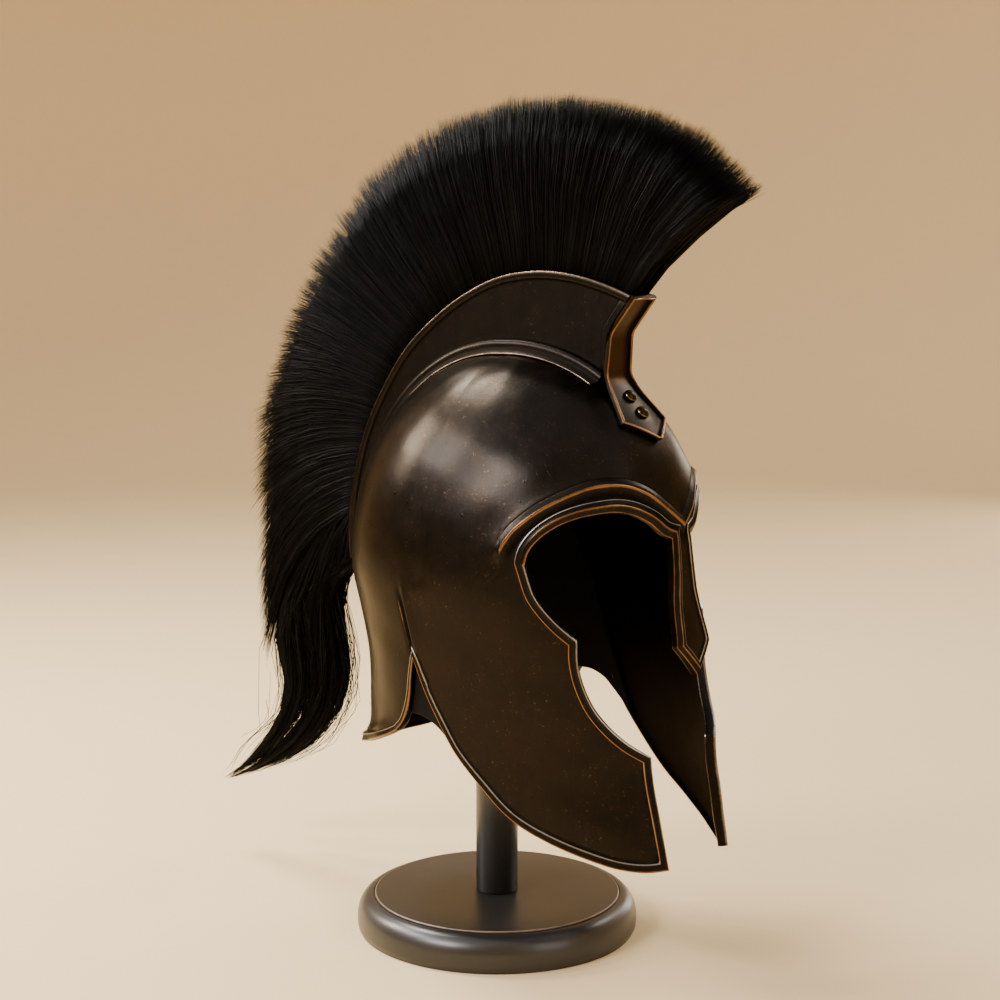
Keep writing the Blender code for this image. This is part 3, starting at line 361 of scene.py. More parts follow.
def cubic(at, xs, ys, flat_start=False):
    """A smooth curve through (xs, ys), read at the places `at`."""
    xs = np.asarray(xs, float)
    ys = np.asarray(ys, float)
    slopes = np.gradient(ys, xs)
    if flat_start:
        slopes[0] = 0.0
    at = np.clip(np.asarray(at, float), xs[0], xs[-1])
    i = np.clip(np.searchsorted(xs, at, side="right") - 1, 0, len(xs) - 2)
    step = xs[i + 1] - xs[i]
    t = (at - xs[i]) / step
    return ((1 + 2 * t) * (1 - t) ** 2 * ys[i] + t * (1 - t) ** 2 * step * slopes[i]
            + t * t * (3 - 2 * t) * ys[i + 1] + t * t * (t - 1) * step * slopes[i + 1])


def smooth_step(value):
    value = np.clip(value, 0.0, 1.0)
    return value * value * (3 - 2 * value)


def lengths_along(points):
    """Distance along a row of points from its first one."""
    return np.concatenate([[0.0], np.cumsum(np.linalg.norm(np.diff(points, axis=0), axis=1))])


def through(points, count):
    """A smooth curve through points of any dimension, in `count` even steps."""
    points = np.asarray(points, float)
    along = lengths_along(points)
    at = np.linspace(0.0, along[-1], count)
    if len(points) == 2:
        return np.stack([np.interp(at, along, column) for column in points.T], axis=-1)
    return np.stack([cubic(at, along, column) for column in points.T], axis=-1)


def columns_at(rows, at):
    """Columns of a table, each read smoothly at fractional row numbers."""
    return [cubic(at, np.arange(len(rows)), column) for column in np.array(rows).T]


def unit(vectors):
    return vectors / np.maximum(np.linalg.norm(vectors, axis=-1, keepdims=True), 1e-12)


def wall_shape(level):
    """Half width, front reach and back reach of the skull at or below the temples."""
    falling = [-row.level for row in WALL_ROWS]
    down = np.clip(-np.asarray(level, float), 0.0, None)
    half = HALF_WIDTH * cubic(down, falling, [row.half_width for row in WALL_ROWS], True)
    front = FRONT_REACH * cubic(down, falling, [row.front for row in WALL_ROWS], True)
    back = BACK_REACH * cubic(down, falling, [row.back for row in WALL_ROWS], True)
    return half, front, back


def fullness(toward_front):
    """Exponent of the dome's curve: round at the back, fuller at the brow."""
    return 2.0 + (BROW_FULLNESS - 2.0) * np.clip(toward_front, 0.0, 1.0)


def drawn_in(angle, level):
    """Share of the width and reach that is left where the rear quarters are drawn in: one less a
    squared sine of the way from their start to the nape, fading out towards the crown."""
    quarter = np.clip((np.degrees(np.abs(angle)) - QUARTER_START) / (180 - QUARTER_START), 0.0, 1.0)
    return 1 - QUARTER_DRAW * np.sin(pi * quarter) ** 2 * (1 - np.clip(level, 0.0, 1.0) ** 2)


def nose_lean(angle, level):
    """How far the nose guard leans out in front of the skull."""
    beside = smooth_step((np.degrees(np.abs(angle)) - 12.0) / 10.0)
    return NASAL_LEAN * smooth_step((0.2 - level) / 0.45) * (1 - beside)


def run_of(angle, level):
    """Distance down the skull's pattern from the crown to a level."""
    rise = np.clip(level, 0.0, 1.0) ** (fullness(np.cos(angle)) / 2)
    return np.where(level > 0, np.arccos(rise) / (pi / 2) * DOME_RUN, DOME_RUN - level * SKIRT_DROP)


def skull_point(angle, run):
    """The bare skull. Above the temples it is an egg: width and reach go with the sine of the
    turn from the crown and height with its cosine, each to the power two over the fullness.
    Below them it is a wall whose width and reaches follow the table of levels. The rear
    quarters are drawn in and the nose guard leans out."""
    angle = np.asarray(angle, float)
    run = np.asarray(run, float)
    turn = np.clip(run / DOME_RUN, 0.0, 1.0) * pi / 2
    below = np.clip(run - DOME_RUN, 0.0, None)
    half, front, back = wall_shape(-below / SKIRT_DROP)
    forward = np.cos(angle)
    power = 2 / fullness(forward)
    height = np.cos(turn) ** power
    level = np.where(run < DOME_RUN, height, -below / SKIRT_DROP)
    spread = np.sin(turn) ** power * drawn_in(angle, level)
    reach = np.where(forward > 0, front, back)
    return np.stack([
        -half * np.sin(angle) * spread,
        SKULL_CENTRE_Y - reach * forward * spread - nose_lean(angle, level),
        TEMPLE_HEIGHT - below + DOME_RISE * np.where(run < DOME_RUN, height, 0.0),
    ], axis=-1)


def skull_slopes(angle, run):
    """The skull's two slopes and its outward normal, by small differences."""
    run = np.maximum(run, 10 * SMALL)
    across = (skull_point(angle + SMALL, run) - skull_point(angle - SMALL, run)) / (2 * SMALL)
    down = (skull_point(angle, run + SMALL) - skull_point(angle, run - SMALL)) / (2 * SMALL)
    return across, down, unit(np.cross(across, down))


def skull_radius(x, angle):
    """Distance from the temple line's centre out to the skull, in the plane at x, by halving."""
    x, angle = np.broadcast_arrays(np.asarray(x, float), np.asarray(angle, float))
    near, far = np.zeros(x.shape), np.full(x.shape, 2 * DOME_RISE)
    for _ in range(36):
        middle = (near + far) / 2
        y = -middle * np.cos(angle)
        z = middle * np.sin(angle)
        half, front, back = wall_shape(np.minimum(z, 0.0) / SKIRT_DROP)
        reach = np.where(y < 0, front, back)
        spread = np.hypot(x / half, y / reach)
        power = fullness(-y / reach / np.maximum(spread, 1e-9))
        spread = spread / drawn_in(np.arctan2(np.abs(x / half), -y / reach), z / DOME_RISE)
        size = spread ** power + (np.maximum(z, 0.0) / DOME_RISE) ** power
        near = np.where(size < 1, middle, near)
        far = np.where(size < 1, far, middle)
    return near


def crest_point(x, angle, radius):
    """A point at x, at an angle and distance round the temple line's centre."""
    x, angle, radius = np.broadcast_arrays(np.asarray(x, float), angle, radius)
    return np.stack([x, SKULL_CENTRE_Y - radius * np.cos(angle),
                     TEMPLE_HEIGHT + radius * np.sin(angle)], axis=-1)


def rim_radius(angle):
    rise = cubic(np.degrees(angle), [row.angle for row in RIM_ROWS], [row.rise for row in RIM_ROWS])
    return skull_radius(0.0, angle) + CREST_RISE * rise


class Patchwork:
    """Grids of points that are welded into one piece along the sides that they share."""

    def __init__(self, *marks):
        self.marks = {name: [] for name in marks}
        self.points, self.faces, self.count = [], [], 0

    def add(self, points, faces, marks):
        """Add points, arrays of faces as numbers of those points, and the marks on the points."""
        points = np.asarray(points, float).reshape(-1, 3)
        self.points.append(points)
        self.faces += [np.asarray(part) + self.count for part in faces]
        for name, kept in self.marks.items():
            kept.append(np.broadcast_to(marks.get(name, 0.0), (len(points),)).astype(np.float32))
        self.count += len(points)

    def grid(self, points, marks=None, both_sides=True):
        """Add a grid of points (rows, columns, 3), and its mirror image across x = 0."""
        rows, columns = points.shape[:2]
        index = np.arange(rows * columns).reshape(rows, columns)
        faces = np.stack([index[:-1, :-1], index[:-1, 1:], index[1:, 1:], index[1:, :-1]], axis=-1)
        faces = faces.reshape(-1, 4)
        flat = {name: np.broadcast_to(value, (rows, columns)).ravel()
                for name, value in (marks or {}).items()}
        self.add(points, [faces], flat)
        if both_sides:
            self.add(points * (-1.0, 1.0, 1.0), [faces[:, ::-1]], flat)

    def cap(self, ring, marks):
        """Close a half section's end with one face on each side of x = 0."""
        face = np.arange(len(ring))[None]
        self.add(ring, [face], marks)
        self.add(ring * (-1.0, 1.0, 1.0), [face[:, ::-1]], marks)

    def piece(self, name, finish, weld=WELD, sharp=radians(42)):
        """One smooth-shaded object, welded, with its faces turned outward if `weld` is set."""
        points = np.concatenate(self.points).astype(np.float32)
        corners = np.concatenate([part.ravel() for part in self.faces]).astype(np.int32)
        sizes = np.concatenate([np.full(len(part), part.shape[1]) for part in self.faces])
        mesh = bpy.data.meshes.new(name)
        mesh.vertices.add(len(points))
        mesh.vertices.foreach_set("co", points.ravel())
        mesh.loops.add(len(corners))
        mesh.loops.foreach_set("vertex_index", corners)
        mesh.polygons.add(len(sizes))
        starts = np.concatenate([[0], np.cumsum(sizes)[:-1]])
        mesh.polygons.foreach_set("loop_start", starts.astype(np.int32))
        mesh.update(calc_edges=True)
        for mark, kept in self.marks.items():
            layer = mesh.attributes.new(mark, "FLOAT", "POINT")
            layer.data.foreach_set("value", np.concatenate(kept))
        if weld:
            work = bmesh.new()
            work.from_mesh(mesh)
            bmesh.ops.remove_doubles(work, verts=work.verts, dist=weld)
            bmesh.ops.dissolve_degenerate(work, edges=work.edges, dist=weld / 10)
            bmesh.ops.recalc_face_normals(work, faces=work.faces)
            work.to_mesh(mesh)
            work.free()
        mesh.shade_smooth()
        if sharp:
            mesh.set_sharp_from_angle(angle=sharp)
        mesh.materials.append(finish)
        made = bpy.data.objects.new(name, mesh)
        bpy.context.scene.collection.objects.link(made)
        return made


def hand_over(piece, slot, *nodes):
    """Let a finished piece ride on the part's one body and stand for CAD nodes."""
    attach(piece, "root")
    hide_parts(*nodes)


def line_of(rows):
    """A smooth line over the skull through rows of (angle in degrees, level)."""
    rows = np.array([(radians(a), run_of(radians(a), level)) for a, level in rows])
    return through(rows * (HALF_WIDTH, 1.0), CURVE_POINTS) / (HALF_WIDTH, 1.0)


def across_line(line, places):
    """How far places lie past a line on the skull, on its lower or front side, and the distance
    along the line to the nearest point and from there to the line's end."""
    nodes = skull_point(*line.T)
    ahead = unit(np.gradient(nodes, axis=0))
    side = unit(np.cross(skull_slopes(*line.T)[2], ahead))
    flat = places.reshape(-1, 3)
    nearest = np.concatenate([((part[:, None] - nodes[None]) ** 2).sum(axis=2).argmin(axis=1)
                              for part in np.array_split(flat, max(1, len(flat) // 4000))])
    along = lengths_along(nodes)
    past = ((flat - nodes[nearest]) * side[nearest]).sum(axis=1)
    shape = places.shape[:-1]
    return past.reshape(shape), along[nearest].reshape(shape), (along[-1] - along[nearest]).reshape(shape)


def beaten(angle, run):
    """The sheet's slight unevenness, as a sum of long waves round and down the skull."""
    round_skull = angle * HALF_WIDTH
    waves = np.sin(round_skull * 88 + 2.1 * np.sin(run * 47)) * np.sin(run * 71 + 0.8)
    finer = np.sin(round_skull * 171 + run * 63) * np.sin(run * 149 - round_skull * 54 + 1.7)
    fade = smooth_step(angle / 0.15) * smooth_step((pi - angle) / 0.15) * smooth_step(run / 0.06)
    return (WAVE_HEIGHTS[0] * waves + WAVE_HEIGHTS[1] * finer) * fade


def follow_crease(angle, run):
    """Slide the grid sideways by the crease, so that its columns run along the crease."""
    line = line_of(CREASE_LINE)
    order = np.argsort(line[:, 1])
    lean = np.interp(run, line[order, 1], line[order, 0]) - line[-1, 0]
    lean = lean * smooth_step((run - 0.10) / 0.10)
    return angle + lean * smooth_step(1.6 * (1 - np.abs(angle - line[-1, 0]) / 0.35))


class Shell:
    """The sheet's surface: the skull with its brow line, crease and dent raised on it."""

    def __init__(self, brow_raise, crease_raise):
        self.lines = (
            (line_of(BROW_LINE), BROW_ROWS, brow_raise, BROW_FADE),
            (line_of(CREASE_LINE), CREASE_ROWS, crease_raise, CREASE_FADE),
        )
        self.dent = line_of(DENT_LINE)
        self.guard_edge = line_of(OUTLINE[-1].rows)

    def flare(self, angle, run, bare):
        """The neck guard's turn outward near its lower edge, from its section at that distance."""
        low = (angle > radians(100)) & (run > DOME_RUN + 0.4 * SKIRT_DROP)
        rise = np.zeros(angle.shape)
        past, from_start, _ = across_line(self.guard_edge, bare[low])
        rise[low] = np.interp(past, *np.array(FLARE_ROWS).T) * smooth_step(from_start / 0.030)
        return FLARE * rise

    def outside(self, angle, run, height=0.0):
        """Points on the outside, with their wear and grime; the grime darkens the hollows beside the
        lines of relief partly as dirt and partly as painted shade. The height at a line of relief is
        that line's section, read at the distance across it and faded out towards its ends."""
        angle = follow_crease(angle, run)
        bare = skull_point(angle, run)
        rise = beaten(angle, run) + height + self.flare(angle, run, bare)
        wear, grime = np.zeros(rise.shape), np.zeros(rise.shape)
        for line, rows, raised, (fade_in, fade_out) in self.lines:
            past, from_start, to_end = across_line(line, bare)
            hold = smooth_step(to_end / fade_out)
            if fade_in:
                hold = hold * smooth_step(from_start / fade_in)
            offsets, heights, worn, grimy_and_shaded = np.array(rows).T
            rise = rise + raised * hold * np.interp(past, offsets, heights)
            wear = np.maximum(wear, hold * np.interp(past, offsets, worn))
            grime = np.maximum(grime, hold * np.interp(past, offsets, grimy_and_shaded))
        past, from_start, to_end = across_line(self.dent, bare)
        inside = smooth_step(from_start / DENT_FADE[0]) * smooth_step(to_end / DENT_FADE[1])
        rise = rise - DENT_DEPTH * inside * np.exp(-((past / DENT_WIDTH) ** 2))
        return bare + skull_slopes(angle, run)[2] * rise[..., None], {"wear": wear, "grime": grime}

    def inside(self, angle, run, depth=WALL):
        angle = follow_crease(angle, run)
        depth = np.broadcast_to(depth, angle.shape)
        bare = skull_point(angle, run)
        rise = beaten(angle, run) - depth + self.flare(angle, run, bare)
        # The inside gets half grime: partly dirt, partly painted shade inside the sheet.
        return bare + skull_slopes(angle, run)[2] * rise[..., None], {"inside": 1.0, "grime": 0.5}


class Border:
    """The edge of the opening and the inner line of its raised border, ring by ring.

    Each stretch of the inner line is its edge moved in by the border's width. Both run between
    mitres: a stretch starts where the inner lines of the two stretches at that corner cross.
    """

    def __init__(self):
        curves = [self.long_curve(stretch) for stretch in OUTLINE]
        self.edge, self.foot, self.width, self.raised, self.flange = [], [], [], [], []
        self.silver, self.bevel = [], []
        self.first = [0]
        trims = self.mitres(curves)
        for stretch, (curve, along, length), (start, end) in zip(OUTLINE, curves, trims):
            share = np.linspace(0.0, 1.0, stretch.steps + 1)
            width = stretch.border_start + (stretch.border_end - stretch.border_start) * share
            self.edge.append(self.read(curve, along, share * length))
            at = start[0] + (length - start[0] - end[0]) * share
            beyond = np.maximum(-at / max(-start[0], 1e-9) * start[1],
                                (at - length) / max(-end[0], 1e-9) * end[1])
            narrowed = width * np.sqrt(1 - np.clip(beyond, 0.0, 1.0) ** 2)
            self.foot.append(self.moved_in(curve, along, at, narrowed))
            self.width.append(width)
            ramp = smooth_step(share * length / 0.03) if stretch.raised > 1 else share
            self.raised.append(1 + (stretch.raised - 1) * ramp)
            self.flange.append(np.full(len(share), stretch.flange))
            self.silver.append(np.full(len(share), stretch.silver))
            fade = smooth_step((1 - share) / 0.24) if stretch.name == "eye_top" else 1.0
            self.bevel.append(stretch.bevel * fade + 0 * share)
            self.first.append(self.first[-1] + stretch.steps)
        for before, after in zip(self.foot[:-1], self.foot[1:]):
            before[-1] = after[0] = (before[-1] + after[0]) / 2
        self.foot[0][0, 0] = 0.0
        self.foot[-1][-1, 0] = pi

    @staticmethod
    def long_curve(stretch):
        """A stretch as a fine curve that goes on straight for a little past both of its ends."""
        curve = line_of(stretch.rows)
        places = skull_point(*curve.T)
        along = lengths_along(places)
        extra = 0.03
        before = curve[0] - (curve[2] - curve[0]) / along[2] * extra
        after = curve[-1] + (curve[-1] - curve[-3]) / (along[-1] - along[-3]) * extra
        return (np.concatenate([[before], curve, [after]]),
                np.concatenate([[-extra], along, [along[-1] + extra]]), along[-1])

    @staticmethod
    def read(curve, along, at):
        return np.stack([np.interp(at, along, column) for column in curve.T], axis=-1)

    @classmethod
    def heading(cls, curve, along, at):
        """The way the edge runs at places along it, and the way in from it over the skull."""
        small = 0.0008
        here = cls.read(curve, along, at)
        ends = [skull_point(*cls.read(curve, along, at + step).T) for step in (-small, small)]
        ahead = unit(ends[1] - ends[0])
        across, down, normal = skull_slopes(*here.T)
        return here, ahead, unit(np.cross(ahead, normal)), (across, down)

    @classmethod
    def moved_in(cls, curve, along, at, width):
        """Places along the edge moved in over the skull, solved on its two slopes."""
        here, _, inward, (across, down) = cls.heading(curve, along, at)
        step = inward * width[:, None]
        aa, ad, dd = (across * across).sum(-1), (across * down).sum(-1), (down * down).sum(-1)
        sa, sd = (step * across).sum(-1), (step * down).sum(-1)
        size = aa * dd - ad * ad
        return here + np.stack([(sa * dd - sd * ad) / size, (sd * aa - sa * ad) / size], axis=-1)

    @classmethod
    def mitres(cls, curves):
        """For each stretch, how much shorter its inner line is at its start and end, and
        whether that end is a blunt one that narrows round the tip of a slit."""
        trims = [[(0.0, 0.0), (0.0, 0.0)] for _ in curves]
        for i, (before, after) in enumerate(zip(curves[:-1], curves[1:])):
            _, ahead, inward, _ = cls.heading(before[0], before[1], np.array([before[2] - 0.001]))
            _, onward, _, _ = cls.heading(after[0], after[1], np.array([0.001]))
            turn = np.arctan2((onward * inward).sum(), (onward * ahead).sum())
            width_in, width_out = OUTLINE[i].border_end, OUTLINE[i + 1].border_start
            if abs(turn) < radians(20):
                shorter = longer = (width_in + width_out) / 2 * np.tan(turn / 2)
            else:
                shorter = (width_out - width_in * np.cos(turn)) / np.sin(turn)
                longer = (width_in - width_out * np.cos(turn)) / np.sin(turn)
            slit = turn < radians(-140)
            if slit:
                shorter = longer = -2.4 * width_in
            trims[i][1] = (float(shorter), float(slit))
            trims[i + 1][0] = (float(longer), float(slit))
        edge_turn = cls.heading(curves[0][0], curves[0][1], np.array([0.001]))[1][0]
        half_point = np.arctan2(edge_turn[2], -edge_turn[0])
        trims[0][0] = (OUTLINE[0].border_start * float(np.tan(half_point)), 0.0)
        return trims

    def ring(self, name):
        """One stretch's points on the inner line."""
        return self.foot[[stretch.name for stretch in OUTLINE].index(name)]

    def joined(self, what):
        """A list of stretches as one run of points, each corner used once."""
        parts = getattr(self, what)
        return np.concatenate([part[:-1] for part in parts[:-1]] + [parts[-1]])


def fill_between(top, bottom, left, right):
    """A grid inside four sides, each inner point set by the sides' points in line with it."""
    rows, columns = len(left), len(top)
    u = np.linspace(0, 1, columns)[None, :, None]
    v = np.linspace(0, 1, rows)[:, None, None]
    corners = ((1 - u) * (1 - v) * top[0] + u * (1 - v) * top[-1]
               + (1 - u) * v * bottom[0] + u * v * bottom[-1])
    return (1 - v) * top + v * bottom + (1 - u) * left[:, None] + u * right[:, None] - corners


def cap_stops(bottom):
    """The runs at which the dome's rows crowd together, column by column: along the brow line
    as far as it goes, then at a distance above the dome's lower side that grows."""
    line = line_of(BROW_LINE)
    angle, end = bottom.T
    last = line[-1, 0]
    past = np.clip((angle - last) / 1.0, 0.0, 1.0)
    held = np.interp(last, angle, end) - line[-1, 1]
    brow = np.where(angle < last, np.interp(angle, *line.T), end - held - (0.05 - held) * past)
    ahead = unit(np.gradient(skull_point(*line.T), axis=0))
    stretch = 1 / np.maximum(np.hypot(ahead[:, 0], ahead[:, 1]), 0.35)
    stretch = np.interp(angle, line[:, 0], stretch)
    stretch = 1 + (stretch - 1) * (1 - smooth_step(past / 0.3))
    return np.stack([0 * brow] + [brow + stretch * offset for offset in DOME_STOPS] + [end])


def cap_grid(bottom, steps):
    """The dome from the crown down to its lower side, with rows set between the stops."""
    stops = cap_stops(bottom)
    parts = [stops[i] + (stops[i + 1] - stops[i]) * (np.arange(count) / count)[:, None]
             for i, count in enumerate(steps)]
    run = np.concatenate(parts + [stops[-1:]])
    return np.stack([np.broadcast_to(bottom[:, 0], run.shape), run], axis=-1)


def add_border(patches, shell, border, raise_height):
    """The raised border and the flange, a section carried along the opening's edge: out from
    the inner line, up a step, over the band, round the edge, in along the flange and back."""
    edge, foot = border.joined("edge"), border.joined("foot")
    width, raised = border.joined("width"), raise_height * border.joined("raised")
    flange, silver, bevel = border.joined("flange"), border.joined("silver"), border.joined("bevel")
    kernel = np.ones(15) / 15
    flange = np.convolve(np.pad(flange, 7, mode="edge"), kernel, mode="valid")
    deep = WALL + (FLANGE_DEPTH - WALL) * flange
    sunk = BEVEL_SINK * bevel
    outer, marks, inner = [], [], []
    for row, bevel_wear in zip(BORDER_ROWS, BEVEL_WEAR):
        share = row.share + (row.bevel_share - row.share) * bevel
        share = np.clip((row.inset + share * width) / width, 0.0, 1.0)[:, None]
        place = edge + (foot - edge) * share
        height = row.raise_share + (row.bevel_raise - row.raise_share) * bevel
        points, found = shell.outside(place[:, 0], place[:, 1], height * raised)
        outer.append(points)
        # Grime darkens the border's steps and edge partly as dirt and partly as painted shade.
        fade = 1.0 if row.share < 1 or row.inset else 0.6
        marks.append((row.wear + (bevel_wear - row.wear) * bevel,
                      np.maximum(found["grime"], fade * row.grime),
                      silver if row.share < 0.5 else 1 - silver))
    # The silver marks paint the edge pale, partly as worn metal and partly as a painted highlight.
    wear, grime, silver_and_highlight_rows = (np.stack(column)[::-1] for column in zip(*marks))
    patches.grid(np.stack(outer)[::-1], {"wear": wear, "grime": grime, "silver": silver_and_highlight_rows})
    rows, wear, grime, hidden = [outer[-1]], [marks[-1][0]], [marks[-1][1]], [0 * width]
    for row in FLANGE_ROWS:
        place = edge + (foot - edge) * (row.inset / width)[:, None]
        rows.append(shell.inside(place[:, 0], place[:, 1], sunk + row.depth_share * (deep - sunk))[0])
        wear.append(np.full(len(width), row.wear))
        grime.append(np.full(len(width), row.grime))
        hidden.append(0 * width)
    for inset, depth in ((0.0016, WALL + 0.0004), (0.0021, WALL), (None, WALL)):
        share = 1.0 if inset is None else (inset / width)[:, None]
        place = edge + (foot - edge) * share
        inner.append(shell.inside(place[:, 0], place[:, 1], depth)[0])
        wear.append(0 * width)
        # Half grime on the inner rows: partly dirt, partly painted shade inside the sheet.
        grime.append(0 * width + 0.5)
        hidden.append(0 * width + 1.0)
    patches.grid(np.stack(rows + inner), {"wear": np.stack(wear), "grime": np.stack(grime),
                                          "inside": np.stack(hidden), "silver": silver})


def build_shell(settings, finish):
    """Dome, nose guard, cheek guards and neck guard as one sheet of four welded patches on
    each side, with the border that closes its edge and the same patches again inside. The
    dome's first row is drawn to one point on x = 0."""
    shell = Shell(settings.brow_raise, settings.crease_raise)
    border = Border()
    ring = border.ring
    nasal_top = np.linspace((0.0, ring("eye_top")[0, 1] + 0.0012), ring("eye_top")[0],
                            OUTLINE[0].steps + 1)
    slit = ring("guard_front")[0]
    cheek_top = np.linspace(ring("eye_bottom")[0], slit, OUTLINE[4].steps + OUTLINE[5].steps + 1)
    spacing = np.linspace(0, 1, OUTLINE[8].steps + 1)[:, None] ** 1.45
    guard_top = slit + (np.array((pi, slit[1])) - slit) * spacing
    cap_bottom = np.concatenate([nasal_top[:-1], ring("eye_top")[:-1], cheek_top[:-1], guard_top])
    cheek_front = np.concatenate([ring("mouth")[:-1], ring("cheek_front")])
    nasal_down = np.linspace(nasal_top[0], ring("nasal_point")[0], OUTLINE[1].steps + 1)
    nape = np.linspace(guard_top[-1], ring("guard_bottom")[-1], OUTLINE[7].steps + 1)
    nasal = fill_between(nasal_top, ring("nasal_point"), nasal_down, ring("nasal_side")[::-1])
    cheek = fill_between(cheek_top, cheek_front, ring("eye_bottom"), ring("cheek_bottom")[::-1])
    guard = fill_between(guard_top, ring("guard_bottom"), ring("guard_front"), nape)
    patches = Patchwork("wear", "grime", "inside", "silver")
    for surface, steps in ((shell.outside, DOME_STEPS), (shell.inside, INSIDE_DOME_STEPS)):
        dome = cap_grid(cap_bottom, steps)
        points, marks = surface(dome[..., 0], dome[..., 1])
        points[0] = points[0].mean(axis=0) * (0.0, 1.0, 1.0)
        patches.grid(points, marks)
        for grid in (nasal, cheek, guard):
            patches.grid(*surface(grid[..., 0], grid[..., 1]))
    add_border(patches, shell, border, settings.border_raise)
    made = patches.piece("helmet_sheet", finish, sharp=radians(55))
    hand_over(made, "shell_metal", "helmet_shell")


def build_lining(finish):
    """Leather band inside the sheet, black enough to stand in for the shade inside the helmet as
    well: two layers between its top edge and its hem, set in from the skull, with a thickness
    that rounds off to nothing along the band's borders."""
    top = np.linspace((radians(LINING_START), run_of(radians(LINING_START), LINING_TOP)),
                      (pi, run_of(pi, LINING_TOP)), LINING_COLUMNS)
    rows = np.array([(radians(angle), run_of(radians(angle), level)) for angle, level in HEM_ROWS])
    hem = through(rows * (HALF_WIDTH, 1.0), LINING_COLUMNS) / (HALF_WIDTH, 1.0)
    down = np.concatenate([[0.0, 0.004, 0.012], np.linspace(0.03, 0.97, 22), [0.988, 0.996, 1.0]])
    angle, run = np.moveaxis(top + (hem - top) * down[:, None, None], -1, 0)
    border = np.minimum(np.minimum(down, 1 - down)[:, None] / 0.012, np.linspace(0, 60, LINING_COLUMNS))
    half = 0.5 * LINING_THICKNESS * np.sqrt(1 - (1 - np.clip(border, 0.0, 1.0)) ** 2)
    normal = skull_slopes(angle, run)[2]
    middle = skull_point(angle, run) - normal * (WALL + LINING_CLEAR + 0.5 * LINING_THICKNESS)
    patches = Patchwork("wear")
    patches.grid(middle + normal * half[..., None])
    patches.grid((middle - normal * half[..., None])[::-1])
    made = patches.piece("leather_lining", finish, sharp=0)
    hand_over(made, "lining_leather", "head_lining")


def strap_line(spacing=STRAP_ROW):
    """The strap's middle line with its bends eased: places, the way each faces, the widening
    and the table row, at even steps along it."""
    rows = np.array(STRAP_ROWS)
    angle = np.radians(rows[:, 0])
    corners = crest_point(0.0, angle, skull_radius(0.0, angle) + CREST_RISE * rows[:, 1])
    along = lengths_along(corners)
    at = np.linspace(0.0, along[-1], int(along[-1] / spacing) + 1)
    places = np.stack([np.interp(at, along, column) for column in corners.T], axis=-1)
    reach = max(1, int(round(0.0021 / spacing)))
    ends = [2 * places[:1] - places[reach:0:-1], places, 2 * places[-1:] - places[-2:-reach - 2:-1]]
    kernel = np.ones(2 * reach + 1) / (2 * reach + 1)
    padded = np.concatenate(ends)
    places = np.stack([np.convolve(column, kernel, mode="valid") for column in padded.T], axis=-1)
    forward = unit(np.gradient(places, axis=0))
    facing = np.stack([np.zeros(len(places)), forward[:, 2], -forward[:, 1]], axis=-1)
    return places, facing, np.interp(at, along, rows[:, 2]), np.interp(at, along, np.arange(len(rows)))


def angle_behind_strap(radius):
    """The crest angle just behind the front strap at each distance from the centre."""
    places, facing, widen, _ = strap_line(0.002)
    behind = (places - facing * (STRAP_THICKNESS + GAP))[widen < 0.3]
    y, z = behind[:, 1] - SKULL_CENTRE_Y, behind[:, 2] - TEMPLE_HEIGHT
    order = np.argsort(np.hypot(y, z))
    behind = np.interp(radius, np.hypot(y, z)[order], np.arctan2(z, -y)[order])
    return np.maximum(behind, radians(STRAP_ROWS[3].angle))


